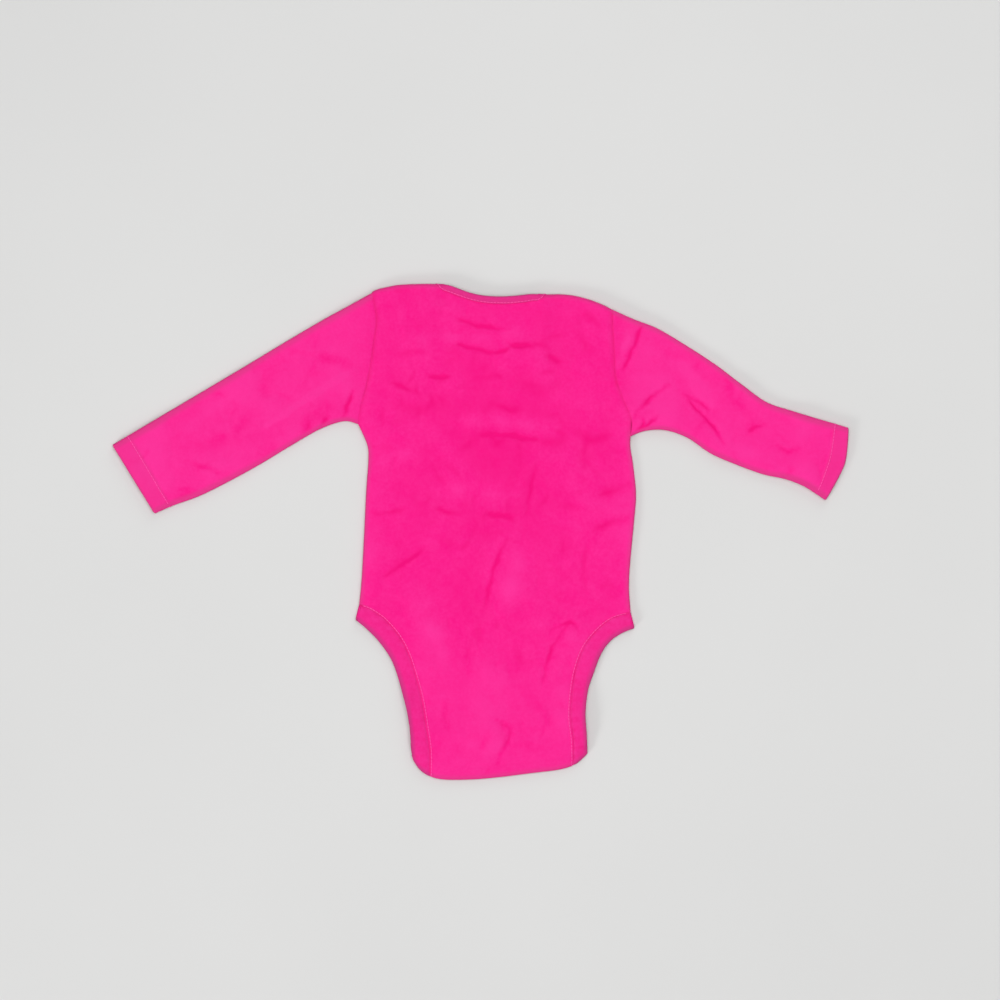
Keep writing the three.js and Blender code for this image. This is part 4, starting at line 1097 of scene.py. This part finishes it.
def leg_band(side):
    """From its end on the flap, round the crotch fold, up the back, over the side and down the front."""
    half = BAND / 2
    outwards = 1 if side == "left" else -1

    def flat(shares):
        seam = leg_line[f"{side}_seam"](shares, outwards * SEAM_GAP / 2)[:, None]
        edge = leg_line[f"{side}_edge"](shares)[:, None]
        spots = lerp(seam, edge, BAND_ACROSS[:, None])
        x = spots[..., 0]
        return x, spots[..., 1] + crotch_shift(x, shares[:, None])

    def sunk(shares):
        return *flat(shares), BAND_SINK * smoothstep(shares, *BAND_SINK_EASE)[:, None]

    *rows, upper = round_crotch(sunk, half)
    rows.append(upper[:-1])
    (end_x, before_x), (end_y, before_y) = flat(np.array([1, 0.98]))
    out = unit(np.stack([end_x - before_x, end_y - before_y], -1))
    top = upper_z(before_x, before_y)
    radius = (top - half) / 2
    turn = np.linspace(0, np.pi, 9)[:, None]
    past = radius * np.sin(turn) - radius - half
    rows.append(placed(end_x + out[:, 0] * past, end_y + out[:, 1] * past, turn_z(top, half, turn)))
    shares = LEG_ROWS[(LEG_ROWS >= PLACKET_START) & (LEG_ROWS < 1)][::-1]
    x, y = flat(shares)
    rows.append(placed(x, y, front_z(x, y, half)))
    middle = np.vstack(rows)
    x, y = middle[..., 0], middle[..., 1]
    # Painted shade along the band's folded edge, its seam and the folds; painted shade and highlight on its
    # puckers, and a paler tone all over
    dull_shade, relief_shading = np.maximum(BAND_SHADE, near_folds(x, y)), PUCKER_RELIEF * puckers(x, y) + BAND_RELIEF
    return bound(f"leg_binding_{side}", middle, -outwards, dull_shade, relief_shading)


def neck_band_back():
    column = np.linspace(0, 1, 190)[:, None]
    x = across_armholes(column, shoulder_fold_y(MIDDLE_X))
    step = lerp(SEAM_GAP / 2, NECK_BAND_WIDTH, BAND_ACROSS)
    return placed(*over_shoulder(column, neck_reach(x) + step * slant(neck_reach, x), BAND / 2))


def neck_band_front():
    x = front_middle[-1, :, 0][:, None]
    column = (x - x[0]) / (x[-1] - x[0])
    y = front_neck_y(x) + slant(front_neck_y, x) * lerp(SEAM_GAP / 2, NECK_BAND_WIDTH, BAND_ACROSS)
    x = across_armholes(column, y)
    return placed(x, y, front_floor(x, y) + BAND / 2)


leg_bands = {side: leg_band(side) for side in ("left", "right")}
neck_back = bound("neck_binding_back", neck_band_back(), -1)
neck_front = bound("neck_binding_front", neck_band_front(), 1)

# The sleeves

SLEEVE_ACROSS = np.linspace(0, 1, 78)
SLEEVE_FOLD = np.linspace(0, np.pi, 9)[1:-1]
SLEEVE_LONG = 230
HOLE_ROWS = [0, 0.002, 0.005, 0.009, 0.014]  # the first rows, close together at the sunk armhole seam
FOLD_REACH = 5  # how far from a fold the upper layer comes down to it
LIFT_REACH = 6  # how far from a fold the under layer's creases reach their height
LIFT_EASE = (0.02, 0.1)  # and over which shares of the sleeve's length from the armhole
CUFF_EASE = (0.8, 1)  # shares over which the cuff's bow grows
# Shares over which painted shade rises to the cuff's folded end
CUFF_SHADE = (0.98, 1)


def sleeve(side):
    """A flat tube from the armhole to a turned hem, and the row where the hem starts."""
    table = SLEEVES[side]
    outwards = 1 if side == "left" else -1
    upper, under = curve_through(table["upper"]), curve_through(table["under"])
    hole = arm_line[side]
    hem_start = 1 - table["hem"]
    long_rows, hem_rows = np.linspace(0.02, hem_start - 0.004, 168), np.linspace(hem_start, 1, 12)
    shares = np.concatenate([HOLE_ROWS, long_rows, hem_rows])[:, None]
    in_hem = shares >= hem_start
    outer, inner = np.where(in_hem, HEM_OUTER, HALF), np.where(in_hem, HEM_INNER, HALF)
    low, high = under(shares), upper(shares)
    length = np.linalg.norm(high - low, axis=-1)

    def flat(across):
        at = hole(across, outwards * SEAM_GAP / 2)
        straight = lerp(hole(0.0), hole(1.0), across[..., None])
        bulge = table["bow"] * (1 - np.abs(2 * across - 1) ** 1.4) * smoothstep(shares, *CUFF_EASE)
        spots = lerp(low, high, across[..., None]) + (1 - shares[..., None]) * (at - straight)
        return spots[..., 0] - outwards * bulge, spots[..., 1]

    low_radius = (upper_z(*flat(4 / length)) - outer) / 2
    high_radius = (upper_z(*flat(1 - 4 / length)) - outer) / 2
    start, end = (outer + low_radius) / length, 1 - (outer + high_radius) / length
    across = lerp(start, end, SLEEVE_ACROSS)
    x, y = flat(across)
    sink = SEAM_SINK * fading(shares * SLEEVE_LONG, 0, SINK_REACH)
    from_low, from_high = (across - start) * length, (end - across) * length
    top_z = lerp(outer + 2 * low_radius, upper_z(x, y) - sink, smoothstep(from_low, 0, FOLD_REACH))
    top = placed(x, y, lerp(outer + 2 * high_radius, top_z, smoothstep(from_high, 0, FOLD_REACH)))
    away = np.minimum(from_low, from_high)
    lift = lower_lift(x, y) * smoothstep(away, 0, LIFT_REACH) * smoothstep(shares, *LIFT_EASE) * ~in_hem
    bottom = placed(x, y, outer + lift)[:, ::-1]

    def turn(edge, radius, way):
        x, y = flat(edge + way * radius * np.sin(SLEEVE_FOLD) / length)
        return placed(x, y, outer + radius + way * radius * np.cos(SLEEVE_FOLD))

    middle = np.hstack([top, turn(end, high_radius, 1), bottom, turn(start, low_radius, -1)])
    # Painted shade at the armhole seam, the sleeve's folds and the cuff's end; the turned hem is painted
    # duller all over
    at_hole = fading(shares * SLEEVE_LONG, 0, SHADE_REACH)
    at_hem = HEM_DULL * in_hem + (1 - HEM_DULL) * smoothstep(shares, *CUFF_SHADE)
    near_fold = fading(away, 0, SHADE_REACH)
    turns = np.ones((len(shares), len(SLEEVE_FOLD)))
    at_folds = np.hstack([near_fold, turns, near_fold[:, ::-1], turns])
    dull_shade = np.maximum(np.maximum(SEAM_SHADE * at_hole, at_hem), at_folds)
    # Painted light and shade of the creases, and painted shade at the armhole seam
    above, below = upper_relief_shading(x, y), lower_relief_shading(lift)[:, ::-1]
    relief_shading = np.hstack([above, 0 * turns, below, 0 * turns]) - SEAM_HOLLOW_SHADE * at_hole**2
    name = f"sleeve_piece_{side}"
    cloth = thickened(name, middle, outer, inner, JERSEY, outwards, True, dull_shade, relief_shading, FOLDED_RIM)
    return cloth, len(HOLE_ROWS) + len(long_rows)


sleeves = {side: sleeve(side) for side in ("left", "right")}

# The snaps

# Profiles of a closed snap: distance from its middle, and height over the floor
SOCKET = [
    (0, 0.12), (2.1, 0.1), (3.2, 0.0), (4.3, 0.0), (4.7, 0.1), (4.8, 0.3), (4.7, 0.5), (2.0, 0.5), (2.0, 2.3),
    (3.9, 2.3), (4.0, 2.5), (3.9, 2.9), (3.6, 3.0), (2.5, 3.0), (2.25, 2.9), (2.25, 2.55), (0, 2.55),
]
STUD = [
    (0, 2.72), (1.4, 2.74), (1.75, 2.86), (1.85, 3.0), (1.7, 3.3), (1.85, 3.6), (1.85, 4.75), (4.3, 4.75),
    (4.4, 4.9), (4.35, 5.05), (4.1, 5.2), (3.0, 5.24), (0, 5.2),
]
snap_x = (LEG["left_seam"][0][0] + LEG["right_seam"][0][0]) / 2
SNAPS = [(x, float(crotch_fold_y(x)) + SNAP_LINE) for x in snap_x + np.array([-1, 0, 1]) * SNAP_SPACING]


def dressed(piece, node):
    """A piece that rides on the part's root and takes a node's place."""
    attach(piece, "root")
    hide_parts(node)


for i, place in enumerate(SNAPS, 1):
    dressed(turned(f"snap_cap_{i}", SOCKET, place, NICKEL), f"snap_socket_{i}")
    dressed(turned(f"snap_post_{i}", STUD, place, NICKEL), f"snap_stud_{i}")

# The thread

# Rows and columns of the pieces' grids that the stitches follow: along the legs, across the placket's upper
# end and along the neck
FIRST_ROW = 4
LEG_STITCHES = (STITCH_COLUMN, -1 - STITCH_COLUMN)
PLACKET_STITCHES = np.s_[19, 3:-3]
NECK_STITCHES = np.s_[2:-2, 2]
legs_on_back = slice(FIRST_ROW, len(FLAP_ROWS) + len(FOLD_ANGLES) + len(LEG_ROWS) - 1)
legs_on_front = slice(FIRST_ROW, int((LEG_ROWS >= PLACKET_START).sum()) - 1)
on_front = [(legs_on_front, column) for column in LEG_STITCHES] + [PLACKET_STITCHES]
threads = {
    "back_thread": [line_on(back, (legs_on_back, column)) for column in LEG_STITCHES],
    "front_thread": [line_on(front, where) for where in on_front],
    "neck_thread_back": [line_on(neck_back, NECK_STITCHES)],
    "neck_thread_front": [line_on(neck_front, NECK_STITCHES)],
}
for side, (cloth, hem_row) in sleeves.items():
    all_round = [*range(cloth.middle.shape[1]), 0]
    threads[f"sleeve_thread_{side}"] = [line_on(cloth, (hem_row + 1, all_round))]
for name, lines in threads.items():
    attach(stitched(name, lines, THREAD), "root")

# The cloth pieces take their nodes' places

# Each cloth piece with its node, its look, the thread in it, what it rests on, and its cut as far as it
# shows: width and length in metres, and area
CLOTHS = [
    (back, "back_panel", "jersey", ["back_thread"], ["front"], (0.238, 0.5), 0.0858),
    (front, "front_panel", "jersey", ["front_thread"], [], (0.238, 0.395), 0.0695),
    (sleeves["left"][0], "sleeve_left", "jersey", ["sleeve_thread_left"], [], (0.235, 0.262), 0.0364),
    (sleeves["right"][0], "sleeve_right", "jersey", ["sleeve_thread_right"], [], (0.222, 0.228), 0.0285),
    (leg_bands["left"], "leg_band_left", "binding", [], [], (0.0225, 0.36), 0.0048),
    (leg_bands["right"], "leg_band_right", "binding", [], [], (0.0185, 0.35), 0.0038),
    (neck_back, "neck_band_back", "binding", ["neck_thread_back"], [], (0.0101, 0.25), 0.0013),
    (neck_front, "neck_band_front", "binding", ["neck_thread_front"], [], (0.0101, 0.225), 0.0012),
]
for cloth, node, look, with_pieces, rests_on, flat, area in CLOTHS:
    dressed(cloth.piece, node)

# The studio

FRAME_SIZE = 0.85  # metres across the photograph
FRAME_MIDDLE = (0.0166, 0.0265)
CAMERA_HEIGHT = 3.0
LIT_SPOT = (0.01, 0.0, 0.0)
LIGHTS = {  # place, size, power
    "overhead": ((0.2, 0.1, 2.6), 2.2, 56),
    "raking": ((-2.2, -2.4, 1.3), 0.8, 46),
    "fill": ((0.9, 2.6, 1.3), 1.4, 17),
}
FLOOR = [(-4000, -4000, -0.4), (4000, -4000, -0.4), (4000, 4000, -0.4), (-4000, 4000, -0.4)]

scene = bpy.context.scene
camera = bpy.data.cameras.new("camera")
camera.sensor_width = 36
camera.lens = camera.sensor_width * CAMERA_HEIGHT / FRAME_SIZE
camera.clip_end = 20
scene.camera = added("camera", camera)
scene.camera.location = (*FRAME_MIDDLE, CAMERA_HEIGHT)

paint = Nodes("floor")
colour = paint.mixed(paint.noise(3.0, 3.0), (0.6, 0.6, 0.595, 1), (0.64, 0.64, 0.635, 1))
paint.put(paint.shader.inputs["Base Color"], colour)
paint.put(paint.shader.inputs["Roughness"], 0.9)
smooth_piece("floor", FLOOR, [(0, 1, 2, 3)], paint.material)

for name, (place, size, power) in LIGHTS.items():
    lamp = bpy.data.lights.new(name, "AREA")
    lamp.size = size
    lamp.energy = power
    holder = added(name, lamp)
    holder.location = place
    holder.rotation_mode = "QUATERNION"
    holder.rotation_quaternion = Vector(np.array(LIT_SPOT) - place).to_track_quat("-Z", "Y")

world = bpy.data.worlds.new("world")
world.use_nodes = True
background = world.node_tree.nodes["Background"]
background.inputs["Color"].default_value = (1, 1, 1, 1)
background.inputs["Strength"].default_value = 0.3
scene.world = world
scene.view_settings.view_transform = "Standard"
